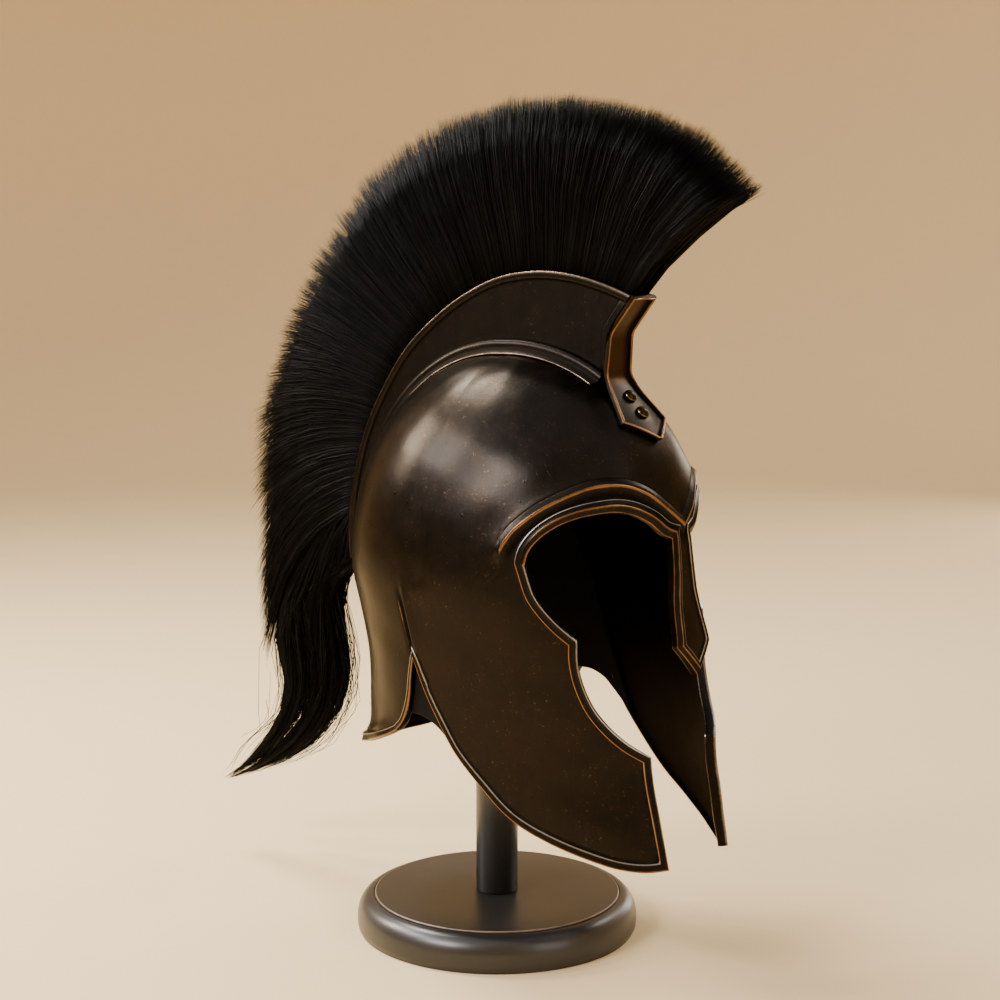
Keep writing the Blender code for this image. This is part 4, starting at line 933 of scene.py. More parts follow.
def build_holder(finish):
    """Trough for the hair: its section is carried back over the dome from the strap. A point of
    the section lies at its share of the way from dome to rim, plus its own height. Near the
    strap the side plate is raised into a band."""
    rows = np.array(HOLDER_ROWS)
    jumps = np.flatnonzero(np.abs(np.diff(rows[:, 1])) > 0.5)[::-1]
    for jump in jumps:
        between = np.linspace(rows[jump], rows[jump + 1], PLATE_STEPS)[1:-1]
        rows = np.insert(rows, jump + 1, between, axis=0)
    past, share, height, band, wear, grime = rows.T[:, None, :]
    x = HOLDER_HALF_WIDTH + past
    end = radians(RIM_ROWS[-1].angle)
    near = np.concatenate([[0.0, 0.0003, 0.0010], np.linspace(0.0022, 0.0040, 4),
                           np.linspace(0.0042, 0.0052, 5), [0.0065, 0.0085]])
    length = (end - radians(RIM_ROWS[0].angle)) * 0.19
    at = np.concatenate([near, np.linspace(0.0110, length, 130)])[:, None]
    front = np.full((1, len(rows)), radians(61.5))
    for _ in range(3):
        radius = skull_radius(x, front) * (1 - share) + rim_radius(front) * share + height
        front = angle_behind_strap(radius)
    back_off = np.clip(past - RIM_RAISE, 0.0, None)
    front = front + 0.9 * back_off ** 2 / (back_off + 0.0015) / radius
    angle = front + (end - front) * (at / length)
    radius = ((skull_radius(x, angle) + GAP) * (1 - share) + rim_radius(angle) * share + height)
    step = smooth_step((FRONT_BAND - at) / 0.0007)
    side = x + FRONT_BAND_RAISE * band * step
    edge_wear = band * np.exp(-(((at - FRONT_BAND + 0.0003) / 0.0004) ** 2))
    # The groove behind the front band gets grime: partly dirt, partly painted shade.
    groove = band * np.exp(-(((at - FRONT_BAND - 0.0006) / 0.0006) ** 2))
    front_wear = 0.5 * (share > 0.1) * np.exp(-((at / 0.0004) ** 2))
    marks = {"wear": np.maximum(np.maximum(wear + 0 * at, 0.7 * edge_wear), front_wear),
             "grime": np.maximum(grime + 0 * at, groove)}
    # Silver on the rim and the side plate is partly pale worn metal and partly a painted highlight.
    marks["silver"] = 0.35 * (share > 0.9) + 0.5 * (share < 0.1) + 0 * at
    patches = Patchwork("wear", "grime", "inside", "silver")
    grid = crest_point(side, angle, radius)
    patches.grid(grid, marks)
    # The trough's two ends get half grime, partly dirt and partly painted shade.
    patches.cap(grid[0], {"grime": 0.5})
    patches.cap(grid[-1][::-1], {"grime": 0.5})
    made = patches.piece("crest_trough", finish, sharp=radians(50))
    hand_over(made, "holder_metal", "crest_holder")


def build_strap(finish):
    """Strap and tab: lines at set distances in from the strap's outline, each lowered by its
    step of the section, carried down the strap's middle line. The tab sags with the dome."""
    places, facing, widen, table_row = strap_line()
    along = lengths_along(places)
    corner = np.interp(np.arange(len(STRAP_ROWS)), table_row, along)
    half = STRAP_HALF_WIDTH + (TAB_HALF_WIDTH - STRAP_HALF_WIDTH) * np.array(STRAP_ROWS)[:, 2]
    outline = np.stack([corner, half], axis=-1)
    outline[-1] += (outline[-1] - outline[-2]) * (half[-1] / (half[-2] - half[-1]))
    outline = np.concatenate([[(0.0, 0.0)], outline])
    fine = np.arange(0.0, TAB_HALF_WIDTH + 0.001, STRAP_COLUMN)
    here = np.stack(np.broadcast_arrays(along[:, None], fine), axis=-1)[:, :, None]
    leg = np.diff(outline, axis=0)
    share = np.clip(((here - outline[:-1]) * leg).sum(-1) / (leg ** 2).sum(-1), 0.0, 1.0)
    edge = np.linalg.norm(here - outline[:-1] - share[..., None] * leg, axis=-1).min(axis=-1)
    half_width = np.interp(along, outline[1:, 0], outline[1:, 1])
    edge = np.where(fine <= half_width[:, None], edge, -1.0)
    steps = np.array(STRAP_STEPS)
    inner = (edge[None] > steps[1:, 0, None, None]).sum(axis=-1) * STRAP_COLUMN
    inner[0] = half_width
    x = np.concatenate([inner[:1], inner, [0.6 * inner[-1], 0.3 * inner[-1], 0 * inner[-1]]])
    depth = np.concatenate([steps[:, 1], [STRAP_RECESS + 0.0001] * 3])[:, None] + 0 * x
    wear = np.concatenate([steps[:, 2], [0.0] * 3])[:, None] + 0 * x
    grime = np.concatenate([steps[:, 3], [0.0, 0.0, 0.0]])[:, None] + 0 * x
    flat_end = edge[:, 0][None]
    depth[1:] = np.where(x[1:] > 0, depth[1:], np.interp(flat_end, steps[1:, 0], steps[1:, 1]))
    wear[1:] = np.where(x[1:] > 0, wear[1:], np.interp(flat_end, steps[1:, 0], steps[1:, 2]))
    below = np.array([STRAP_THICKNESS - 0.0004, STRAP_THICKNESS, STRAP_THICKNESS, STRAP_THICKNESS])
    under = np.stack([x[0], x[0] - np.minimum(0.0004, x[0]), 0.5 * x[0], 0 * x[0]])
    rows = np.concatenate([under[::-1], x])
    depths = np.concatenate([np.broadcast_to(below[::-1, None], under.shape), depth])
    angle = np.arctan2(places[:, 2] - TEMPLE_HEIGHT, SKULL_CENTRE_Y - places[:, 1])
    sag = skull_radius(0.0, angle) - skull_radius(rows, angle)
    sag = sag * smooth_step(np.where(table_row > 6.0, 1.0, np.abs(widen) / 0.3))
    points = places + rows[..., None] * (-1.0, 0.0, 0.0) - (depths + sag)[..., None] * facing
    zero = np.zeros((4, len(along)))
    # Painted reflection: the recessed channel of the strap's upper part is marked to be tinted amber, as if
    # it reflected a warm surrounding.
    amber = smooth_step((4.4 - table_row) / 0.8) * (depths > 0.0015)
    # The four underside rows get full grime: partly dirt, partly painted shade under the strap.
    marks = {"wear": np.concatenate([zero, wear]), "grime": np.concatenate([zero + 1, grime]),
             "amber": amber}
    patches = Patchwork("wear", "grime", "inside", "silver", "amber")
    patches.grid(points, marks)
    # The strap's two ends get some grime, partly dirt and partly painted shade.
    patches.cap(points[:, 0][::-1], {"grime": 0.3})
    patches.cap(points[:, -1], {"grime": 0.3})
    made = patches.piece("front_strap", finish, sharp=radians(50))
    hand_over(made, "holder_metal", "crest_strap")


def build_rivets(finish):
    """Two round heads on the tab: a quarter of a flattened circle turned round its own axis."""
    places, facing, _, table_row = strap_line()
    turn = np.linspace(0, 2 * pi, RIVET_SIDES + 1)
    arc = np.concatenate([[0.0], np.linspace(0.0, pi / 2, 12)])
    radius = RIVET_RADIUS * np.cos(arc)
    height = 0.70 * RIVET_RADIUS * np.sin(arc) + 0.0003
    height[0] = 0.0
    radius = np.concatenate([[0.0], radius])
    height = np.concatenate([[0.0], height])
    for name, node, row in zip(("upper_rivet", "lower_rivet"), ("rivet_upper", "rivet_lower"),
                               RIVET_ROWS):
        seat = np.array([np.interp(row, table_row, column) for column in places.T])
        out = unit(np.array([np.interp(row, table_row, column) for column in facing.T]))
        side = np.array((1.0, 0.0, 0.0))
        up = np.cross(out, side)
        round_axis = np.cos(turn)[:, None] * side + np.sin(turn)[:, None] * up
        seat = seat - out * (STRAP_RECESS - GAP)
        points = seat + radius[:, None, None] * round_axis[None] + height[:, None, None] * out
        patches = Patchwork("wear", "grime", "inside", "silver")
        ring = np.exp(-(((height - 0.0012) / 0.0007) ** 2))
        # Grime at a head's foot darkens where it meets the tab, partly as dirt and partly as painted shade.
        marks = {"grime": np.exp(-((height / 0.0006) ** 2))[:, None], "wear": (0.8 * ring)[:, None]}
        patches.grid(points, marks, both_sides=False)
        made = patches.piece(name, finish, sharp=radians(60))
        hand_over(made, "rivet_metal", node)


def lock_points(place, along):
    """Points on the middle plane, on the bowed line from the rim's inside to a lock's end."""
    root, tip, reach, bow = columns_at(LOCK_ROWS, place)
    root, tip = np.radians(root), np.radians(tip)
    start = crest_point(0.0, root, rim_radius(root) - ROOT_DEPTH)
    end = crest_point(0.0, tip, skull_radius(0.0, tip) + PLUME_REACH * reach)
    across = np.stack([np.zeros(root.shape), -(end - start)[..., 2], (end - start)[..., 1]], axis=-1)
    middle = (start + end) / 2 + across * bow[..., None]
    t = along[..., None]
    return (1 - t) ** 2 * start + 2 * t * (1 - t) * middle + t * t * end


def hair_thickness(along, length):
    """Half thickness of the hair: held by the holder, fullest past its middle, thinner at the ends."""
    held = HOLDER_HALF_WIDTH - HOLDER_WALL - 2 * GAP
    leaves = 1.3 * ROOT_DEPTH / length
    full = held + (PLUME_HALF_THICKNESS - held) * smooth_step((along - leaves) / 0.4)
    return full * (1 - HAIR_THINS * smooth_step((along - 0.72) / 0.28))


def tail_points(across, down):
    """Points on the middle plane in the tail, between its neck side and its outer side."""
    end_angle = np.array(radians(RIM_ROWS[-1].angle))
    holder_end = crest_point(0.0, end_angle, rim_radius(end_angle))
    last = np.full(2, len(LOCK_ROWS) - 1.0)
    top = lock_points(last, np.array((0.0, 1.0)))
    rows = np.array(TAIL_ROWS) * TAIL_LENGTH
    outer = holder_end + np.stack([0 * rows[:, 0], rows[:, 0], -rows[:, 1]], axis=-1)
    inner = holder_end + np.stack([0 * rows[:, 0], rows[:, 2], -rows[:, 3]], axis=-1)
    leaving = crest_point(0.0, end_angle, rim_radius(end_angle) - ROOT_DEPTH)
    outer = np.concatenate([[top[1], (top[1] + outer[0]) / 2], outer])
    inner = np.concatenate([[top[0], leaving], inner])
    sides = [[cubic(down * lengths_along(side)[-1], lengths_along(side), column) for column in side.T]
             for side in (inner, outer)]
    near, far = (np.stack(side, axis=-1) for side in sides)
    bend = lock_points(np.full(across.shape, last[0]), across)
    bow = bend - (top[0] + across[..., None] * (top[1] - top[0]))
    return near + across[..., None] * (far - near) + bow * ((1 - down) ** 3)[..., None]


def add_strands(patches, curves, radius, shade):
    """Tapered three-sided strands along curves (strands, points, 3): three points round each
    point of the curve, at even turns in the plane across it, and one point at the tip."""
    strands, points = curves.shape[:2]
    ahead = unit(np.gradient(curves, axis=1))
    first = unit(np.cross(ahead, np.array((1.0, 0.0, 0.0))))
    second = np.cross(ahead, first)
    turn = 2 * pi * (np.arange(3) / 3 + shade[:, None])
    share = np.linspace(0.0, 1.0, points)
    size = radius[:, None] * (0.85 + 0.3 * share - 0.55 * share ** 4)
    ring = (np.cos(turn)[:, None, :, None] * first[:, :, None]
            + np.sin(turn)[:, None, :, None] * second[:, :, None])
    body = curves[:, :-1, None] + ring[:, :-1] * size[:, :-1, None, None]
    body = body.reshape(strands, -1, 3)
    verts = np.concatenate([body, curves[:, -1:]], axis=1)
    count = verts.shape[1]
    base = (np.arange(strands) * count)[:, None]
    low = np.arange(3 * (points - 2)).reshape(-1, 3)
    ahead_corner = np.roll(low, -1, axis=1)
    quads = np.stack([low, ahead_corner, ahead_corner + 3, low + 3], axis=-1).reshape(-1, 4)
    last = 3 * (points - 2) + np.arange(3)
    tips = np.stack([last, np.roll(last, -1), np.full(3, count - 1)], axis=-1)
    tris = np.concatenate([tips, [[2, 1, 0]]])
    along = np.append(np.repeat(share[:-1], 3), 1.0)
    patches.add(verts, [(base[:, :, None] + quads[None]).reshape(-1, 4),
                        (base[:, :, None] + tris[None]).reshape(-1, 3)],
                {"tip": np.tile(along, strands), "strand": np.repeat(shade, count)})


def tuft_pull(rng, place, side, tufts, spread):
    """The place and side of each strand's nearest tuft, and a number for that tuft."""
    centre_place = rng.uniform(place.min(), place.max(), tufts)
    centre_side = rng.uniform(-1.0, 1.0, tufts)
    gap = ((place[:, None] - centre_place) / spread) ** 2 + (0.5 * (side[:, None] - centre_side)) ** 2
    nearest = gap.argmin(axis=1)
    return centre_place[nearest], centre_side[nearest], rng.uniform(-1.0, 1.0, tufts)[nearest]


def spread_sides(rng, count):
    """Where strands lie across the plume: most near its two faces, the rest all through it."""
    outer = np.sign(rng.uniform(-1, 1, count)) * (1 - 0.30 * rng.uniform(0, 1, count) ** 1.5)
    return np.where(rng.uniform(0, 1, count) < 0.62, outer, rng.uniform(-1, 1, count))


def add_shade_core(patches, points_of, first, last, thickness):
    """A body under the strands, painted nearly black as the shade between them: two bowed sheets that meet
    along their borders.
    """
    u, v = np.meshgrid(np.linspace(first, last, 40), np.linspace(0.0, 1.0, 24))
    middle = points_of(u, v)
    round_off = np.clip(6 * v, 0, 1) * np.clip(8 * (1 - v), 0, 1)
    ends = (np.clip(10 * (u - first) / (last - first), 0, 1)
            * np.clip(10 * (last - u) / (last - first), 0, 1))
    half = thickness(v) * np.sqrt(round_off * ends)
    rows, columns = u.shape
    index = np.arange(rows * columns).reshape(rows, columns)
    faces = np.stack([index[:-1, :-1], index[1:, :-1], index[1:, 1:], index[:-1, 1:]], axis=-1)
    faces = faces.reshape(-1, 4)
    for side in (1.0, -1.0):
        patches.add(middle + half[..., None] * (side, 0.0, 0.0), [faces if side > 0 else faces[:, ::-1]],
                    {"core": 1.0})


def build_fan(fan, radius, finish, seed):
    """A fan of the plume: strands from the holder to a ragged edge, drawn together in tufts."""
    rng = np.random.default_rng(seed)
    place = rng.uniform(fan.first - 0.06, fan.last + 0.06, fan.strands)
    place = np.clip(place, 0.0, len(LOCK_ROWS) - 1.0)
    side = spread_sides(rng, fan.strands)
    shade = rng.uniform(0.0, 1.0, fan.strands)
    coarse_place, coarse_side, coarse = tuft_pull(rng, place, side, *FAN_TUFTS[0])
    fine_place, fine_side, fine = tuft_pull(rng, place, side, *FAN_TUFTS[1])
    share = np.linspace(0.0, 1.0, fan.points)[None]
    reach = 1 + fan.ragged * (RAGGED_BY[0] * coarse + RAGGED_BY[1] * fine
                              + rng.normal(0, RAGGED_BY[2], fan.strands))
    fly = rng.uniform(0, 1, fan.strands) < FAN_STRAYS
    reach = reach + fly * rng.uniform(0.0, 1.8 * fan.ragged, fan.strands)
    starts = np.where(np.abs(side) < 0.6, 0.45, 0.02) * rng.uniform(0.6, 1.0, fan.strands)
    along = starts[:, None] + (reach - starts)[:, None] * share
    pull = fan.tufted * smooth_step((along - 0.25) / 0.75)
    closing = smooth_step((along - 0.70) / 0.30)
    places = place[:, None] + (0.35 * pull * (coarse_place - place)[:, None]
                               + (0.6 * pull + 0.45 * closing) * (fine_place - place)[:, None])
    places = places + (0.022 * rng.normal(0, 1, fan.strands)[:, None] * along ** 2
                       + 0.25 * (fly * rng.normal(0, 1, fan.strands))[:, None] * along ** 3)
    sides = side[:, None] + pull * (0.15 * (coarse_side - side) + 0.30 * (fine_side - side))[:, None]
    sides = sides + 0.06 * rng.normal(0, 1, (fan.strands, 1)) * along
    places = np.clip(places, -0.35, len(LOCK_ROWS) - 1.0)
    curves = lock_points(np.clip(places, 0, None), along)
    curves = curves + np.clip(-places, 0, None)[..., None] * (0.0, -0.020, -0.012) * along[..., None] ** 2
    droop = FALL_DROOP * rng.uniform(0.4, 1.5, (fan.strands, 1))
    curves[..., 2] -= droop * smooth_step((places - 6.0) / 5.0) * along ** 3
    length = PLUME_REACH * 0.8
    half = hair_thickness(np.clip(along, 0, 1), length)
    wisp = 0.0009 * np.sin(5 * along + 40 * shade[:, None]) * along
    curves[..., 0] += sides * half + wisp
    patches = Patchwork("tip", "strand", "core")
    add_shade_core(patches, lambda u, v: lock_points(u, 0.04 + 0.88 * v), fan.first, fan.last,
             lambda v: 0.82 * hair_thickness(v, length))
    add_strands(patches, curves, radius * rng.uniform(0.75, 1.25, fan.strands), shade)
    return patches.piece(fan.node.replace("plume", "hair"), finish, weld=0, sharp=0)


def build_tail(radius, finish, seed):
    """The plume's hanging end: strands leave the holder, fan out and then follow the tail down."""
    rng = np.random.default_rng(seed)
    count = TAIL_STRANDS
    across = rng.beta(0.9, 0.9, count)
    side = spread_sides(rng, count)
    shade = rng.uniform(0.0, 1.0, count)
    coarse_across, coarse_side, coarse = tuft_pull(rng, across, side, *TAIL_TUFTS[0])
    fine_across, fine_side, fine = tuft_pull(rng, across, side, *TAIL_TUFTS[1])
    share = np.linspace(0.0, 1.0, TAIL_POINTS)[None] ** 1.3
    reach = (TAIL_REACH + TAIL_REACH_BY[0] * fine + TAIL_REACH_BY[1] * coarse
             + rng.normal(0, TAIL_REACH_BY[2], count))
    late = rng.uniform(0.0, 1.0, count) < TAIL_LATE
    starts = np.where(late, rng.uniform(0.1, 0.5, count), 0.0)
    reach = np.clip(reach, *TAIL_REACH_LIMITS)[:, None]
    gone = starts[:, None] + (reach - starts[:, None]) * share
    fly = rng.uniform(0, 1, count) < TAIL_STRAYS
    opening = 0.10 + 0.30 * across[:, None]
    opened = smooth_step(gone / opening)
    down = np.clip(gone - 0.5 * opening, 0.0, None) / (1 - 0.5 * opening)
    pull = smooth_step((gone / reach - 0.24) / 0.60)
    drawn = TAIL_DRAW[0] * (coarse_across - across) + TAIL_DRAW[1] * (fine_across - across)
    kept = across[:, None] + pull * drawn[:, None]
    kept = kept + (0.02 * rng.normal(0, 1, count) + 0.26 * fly * rng.normal(0, 1, count))[:, None] * pull
    kept = kept + 0.30 * (fine ** 3)[:, None] * smooth_step((down - 0.3) / 0.7)
    kept = (0.03 + 0.97 * kept) * opened + 0.03 * (1 - opened)
    curves = tail_points(kept, np.clip(down, 0, 1))
    past = np.clip(down - 1, 0, None)[..., None]
    curves = curves + past * (0.0, 0.20, -0.05)
    width = 1 - 0.55 * smooth_step((down - 0.55) / 0.45)
    half = PLUME_HALF_THICKNESS * width * (0.55 + 0.45 * np.sin(pi * np.clip(kept, 0, 1)))
    held = HOLDER_HALF_WIDTH - HOLDER_WALL - 2 * GAP
    half = held * (1 - smooth_step(down / 0.12)) + half * smooth_step(down / 0.12)
    sides = side[:, None] + pull * (0.25 * (coarse_side - side) + 0.35 * (fine_side - side))[:, None]
    curves[..., 0] += sides * half + 0.0012 * np.sin(6 * down + 40 * shade[:, None]) * down
    patches = Patchwork("tip", "strand", "core")
    add_shade_core(patches, lambda u, v: tail_points(0.12 + 0.66 * u, 0.01 + 0.42 * v), 0.0, 1.0,
             lambda v: 0.60 * PLUME_HALF_THICKNESS * (1 - 0.5 * v))
    add_strands(patches, curves, radius * rng.uniform(0.75, 1.25, count), shade)
    made = patches.piece("hair_tail", finish, weld=0, sharp=0)
    hand_over(made, "horsehair", "plume_tail")


def skull_height(x, y):
    """Height of the dome's outside over a place on the floor, closed in on in a few rounds."""
    out = y - SKULL_CENTRE_Y
    reach = np.where(out < 0, FRONT_REACH, BACK_REACH)
    angle = np.arctan2(np.abs(x) / HALF_WIDTH, -out / reach)
    power = fullness(np.cos(angle))
    level = np.ones(power.shape)
    for _ in range(6):
        spread = np.hypot(x / HALF_WIDTH, out / reach) / drawn_in(angle, level)
        level = np.clip(1 - spread ** power, 0.0, 1.0) ** (1 / power)
    return TEMPLE_HEIGHT + DOME_RISE * level


def turned_points(radius, height, steps):
    """Points round the upright axis: the cosine and sine of even turns times the radius, and
    the height."""
    turn = np.linspace(0.0, 2 * pi, steps + 1)
    return np.stack([radius * np.cos(turn), radius * np.sin(turn), height + 0 * turn], axis=-1)


def turned(name, profile, marks, finish):
    """A profile of (radius, height) points, top to bottom, turned round the upright axis."""
    radius, height = np.array(profile, float).T[:, :, None]
    points = turned_points(radius, height, FOOT_SIDES)
    patches = Patchwork(*marks)
    patches.grid(points, {mark: np.array(values)[:, None] for mark, values in marks.items()},
                 both_sides=False)
    return patches.piece(name, finish, sharp=radians(50))


def build_base(finish):
    """Round foot: a disc with a small worn edge over a bullnose ring that turns in below."""
    shoulder = BASE_HEIGHT - DISC_STEP
    groove = DISC_RADIUS + 0.0010
    nose = np.linspace(pi / 2, 0.0, 15)
    lip = BASE_RADIUS - groove
    low = 0.38 * BASE_HEIGHT
    profile = [(0.0, BASE_HEIGHT, 0.0), (0.03, BASE_HEIGHT, 0.0), (0.06, BASE_HEIGHT, 0.0),
               (DISC_RADIUS - 0.0012, BASE_HEIGHT, 0.2), (DISC_RADIUS - 0.0004, BASE_HEIGHT - 0.0001, 1.0),
               (DISC_RADIUS, BASE_HEIGHT - 0.0005, 0.8), (DISC_RADIUS, shoulder - 0.0006, 0.0),
               (groove - 0.0003, shoulder - 0.0008, 0.0)]
    profile += [(groove + lip * np.cos(a), low + (shoulder - low) * np.sin(a), 0.0) for a in nose]
    profile += [(BASE_RADIUS, 0.20 * BASE_HEIGHT, 0.0), (BASE_RADIUS - 0.0003, 0.0028, 0.5),
                (BASE_RADIUS - 0.0011, 0.0016, 0.1), (BASE_RADIUS - 0.0016, 0.0, 0.0), (0.0, 0.0, 0.0)]
    profile = np.array(profile)
    made = turned("stand_foot", profile[:, :2], {"wear": profile[:, 2]}, finish)
    hand_over(made, "stand_black", "stand_base")


def build_post(finish):
    """Round post with a head whose top lies just under the dome, at the dome's own slope."""

    def circle(radius, height):
        return turned_points(radius, height, POST_SIDES)

    def under_dome(radius):
        flat = circle(radius, 0.0)
        x, y = flat[:, 0], flat[:, 1]
        height = skull_height(x, y)
        slope = np.hypot(skull_height(x + SMALL, y) - height,
                         skull_height(x, y + SMALL) - height) / SMALL
        flat[:, 2] = height - (WALL + 3 * GAP) * np.hypot(1.0, slope)
        return flat

    brim = under_dome(HEAD_RADIUS)
    underside = float(brim[:, 2].min()) - 0.25 * HEAD_HEIGHT
    bottom = BASE_HEIGHT + GAP
    profile = ((0.0, bottom), (POST_RADIUS - 0.0005, bottom), (POST_RADIUS, bottom + 0.0005),
               (POST_RADIUS, 0.5 * underside), (POST_RADIUS, underside - 0.75 * HEAD_HEIGHT),
               (0.55 * HEAD_RADIUS, underside - 0.3 * HEAD_HEIGHT), (0.92 * HEAD_RADIUS, underside))
    rings = [circle(*place) for place in profile] + [brim]
    rings += [under_dome(share * HEAD_RADIUS) for share in (0.75, 0.5, 0.25, 0.02)]
    rings.append(circle(0.0, rings[-1][:, 2].mean()))
    patches = Patchwork("wear")
    patches.grid(np.stack(rings), both_sides=False)
    made = patches.piece("stand_pillar", finish, sharp=radians(50))
    hand_over(made, "stand_black", "stand_post")


class Shade:
    """A shader socket that takes part in sums. Each operator adds one Math node."""

    def __init__(self, tree, socket=None):
        self.tree, self.socket = tree, socket

    def node(self, kind, settings=None, sockets=None, output=0):
        """Any node: its settings first, then values or links of its sockets."""
        made = self.tree.nodes.new("ShaderNode" + kind)
        for key, value in (settings or {}).items():
            setattr(made, key, value)
        for key, value in (sockets or {}).items():
            if isinstance(value, Shade):
                self.tree.links.new(value.socket, made.inputs[key])
            else:
                made.inputs[key].default_value = value
        return Shade(self.tree, made.outputs[output])

    def maths(self, operation, *values):
        return self.node("Math", {"operation": operation}, dict(enumerate(values)))

    def __add__(self, other):
        return self.maths("ADD", self, other)

    def __radd__(self, other):
        return self.maths("ADD", other, self)

    def __sub__(self, other):
        return self.maths("SUBTRACT", self, other)

    def __mul__(self, other):
        return self.maths("MULTIPLY", self, other)

    def noise(self, place, scale, detail=3.0, roughness=0.55):
        return self.node("TexNoise", {}, {"Vector": place, "Scale": scale, "Detail": detail,
                                          "Roughness": roughness})

    def between(self, low, high):
        """0 below `low`, 1 above `high`, smooth between them."""
        return self.node("MapRange", {"interpolation_type": "SMOOTHSTEP"},
                         {"Value": self, "From Min": low, "From Max": high})

    def mix(self, first, second):
        """The first colour where this mask is 0, the second where it is 1."""
        sockets = {0: self}
        for key, value in ((6, first), (7, second)):
            sockets[key] = value if isinstance(value, Shade) else (*value, 1.0)
        return self.node("Mix", {"data_type": "RGBA"}, sockets, 2)


class Finish:
    """A material with a Principled shader: constants set on its sockets, the rest linked."""

    def __init__(self, name):
        self.material = bpy.data.materials.new(name)
        self.material.use_nodes = True
        self.tree = self.material.node_tree
        self.shader = self.tree.nodes["Principled BSDF"]
        self.start = Shade(self.tree)
        self.place = self.start.node("TexCoord", output="Object")

    def mark(self, name):
        return self.start.node("Attribute", {"attribute_name": name}, output="Fac")

    def stretched(self, scale):
        return self.start.node("Mapping", {}, {"Vector": self.place, "Scale": scale})

    def set(self, **sockets):
        for key, value in sockets.items():
            key = key.replace("_", " ")
            if isinstance(value, Shade):
                self.tree.links.new(value.socket, self.shader.inputs[key])
            else:
                self.shader.inputs[key].default_value = value
        return self.material

    def bump(self, height, distance, strength=1.0):
        return self.start.node("Bump", {}, {"Height": height, "Distance": distance, "Strength": strength})


def patinated(name, dark, brown, worn, silver, rough):
    """Dark patinated metal: brown clouds over it, fine scratches, pits, and bright worn edges
    where the wear mark and a noise agree; where the silver mark is set those edges are pale,
    partly as worn metal and partly as a painted highlight. The amber mark paints a reflection
    of a warm surrounding into the strap's channel. Hollows marked with grime are duller and
    darker, partly as dirt and partly as painted shade, and the inside is painted darker
    towards the top as painted shade."""
    finish = Finish(name)
    place = finish.place
    start = finish.start
    clouds = start.noise(place, 16.0, 6.0, 0.65).between(0.42, 0.70)
    mottle = start.noise(place, 85.0, 5.0, 0.68)
    speckle = start.noise(place, 520.0, 2.0, 0.6)
    brushed = start.noise(finish.stretched((420.0, 420.0, 26.0)), 1.0, 3.0, 0.6)
    scratches = start.noise(finish.stretched((900.0, 160.0, 60.0)), 1.0, 2.0, 0.5).between(0.67, 0.75)
    wear, grime, hidden = finish.mark("wear"), finish.mark("grime"), finish.mark("inside")
    rubbed = (wear * (0.55 + mottle * 0.9)).between(0.42, 0.90)
    freckles = speckle.between(0.62, 0.74) * mottle.between(0.44, 0.60)
    colour = (clouds * 0.55 + mottle.between(0.42, 0.72) * 0.45).mix(dark, brown)
    colour = (freckles * 0.50).mix(colour, tuple(0.6 * part for part in worn))
    colour = (brushed.between(0.55, 0.80) * 0.25).mix(colour, tuple(1.8 * part for part in dark))
    # Painted reflection: the amber mark tints the strap's channel as if it reflected a warm surrounding.
    colour = (finish.mark("amber") * 0.8).mix(colour, tuple(0.20 * part for part in worn))
    # Grime darkens the hollows, partly as dirt and partly as painted shade.
    colour = (grime * 0.85).mix(colour, GRIME_AND_SHADE_COLOUR)
    # Rubbed edges show copper, or pale silver where the silver mark is set; the silver is partly worn metal
    # and partly a painted highlight.
    bare = (finish.mark("silver") * (0.75 + mottle * 0.5)).between(0.2, 0.9).mix(worn, silver)
    colour = rubbed.mix(colour, bare)
    # Painted shade: the inside is darker towards the top, where less light reaches into the helmet.
    above = start.node("SeparateXYZ", {}, {"Vector": place}, 2).between(0.13, 0.24)
    painted_inside_shade = above.mix(tuple(0.7 * part for part in brown), tuple(0.15 * part for part in brown))
    colour = hidden.mix(colour, painted_inside_shade)
    roughness = rough + clouds * 0.06 + mottle * 0.12 + brushed * 0.08 - scratches * 0.06
    roughness = roughness + grime * 0.25 - rubbed * 0.06 + hidden * 0.25
    height = mottle * 0.5 + speckle * 0.14 + brushed * 0.12 + scratches * 0.25
    return finish.set(Base_Color=colour, Roughness=roughness, Metallic=1.0,
                      Specular_Tint=METAL_TINT,
                      Normal=finish.bump(height, 0.00022, 0.8))


def horsehair(name, colour, tip_colour):
    """Black hair: each strand a little lighter or darker, with paler cut ends. The body under
    the strands is painted darker still, as the shade between the strands."""
    finish = Finish(name)
    strand, tip, core = finish.mark("strand"), finish.mark("tip"), finish.mark("core")
    place = finish.place
    lighter = tuple(2.3 * part for part in colour)
    tone = (strand * 0.7 + finish.start.noise(place, 60.0, 2.0) * 0.5).between(0.35, 1.1)
    shown = tip.between(0.94, 1.0) * strand.between(0.62, 0.95)
    # Painted shade: the body under the strands is nearly black.
    body = core.mix(shown.mix(tone.mix(colour, lighter), tip_colour), (0.0005, 0.0005, 0.0005))
    return finish.set(Base_Color=body, Roughness=0.38 + strand * 0.20 + core * 0.6,
                      Specular_IOR_Level=0.055)


def hide(name, colour):
    """Matte leather: a fine grain and faint scuffs."""
    finish = Finish(name)
    grain = finish.start.noise(finish.place, 700.0, 2.0)
    scuffs = finish.start.noise(finish.place, 45.0, 4.0)
    return finish.set(Base_Color=scuffs.between(0.4, 0.8).mix(colour, tuple(1.8 * part for part in colour)),
                      Roughness=0.72 + grain * 0.2, Specular_IOR_Level=0.12,
                      Normal=finish.bump(grain * 0.6 + scuffs * 0.4, 0.00015, 0.5))


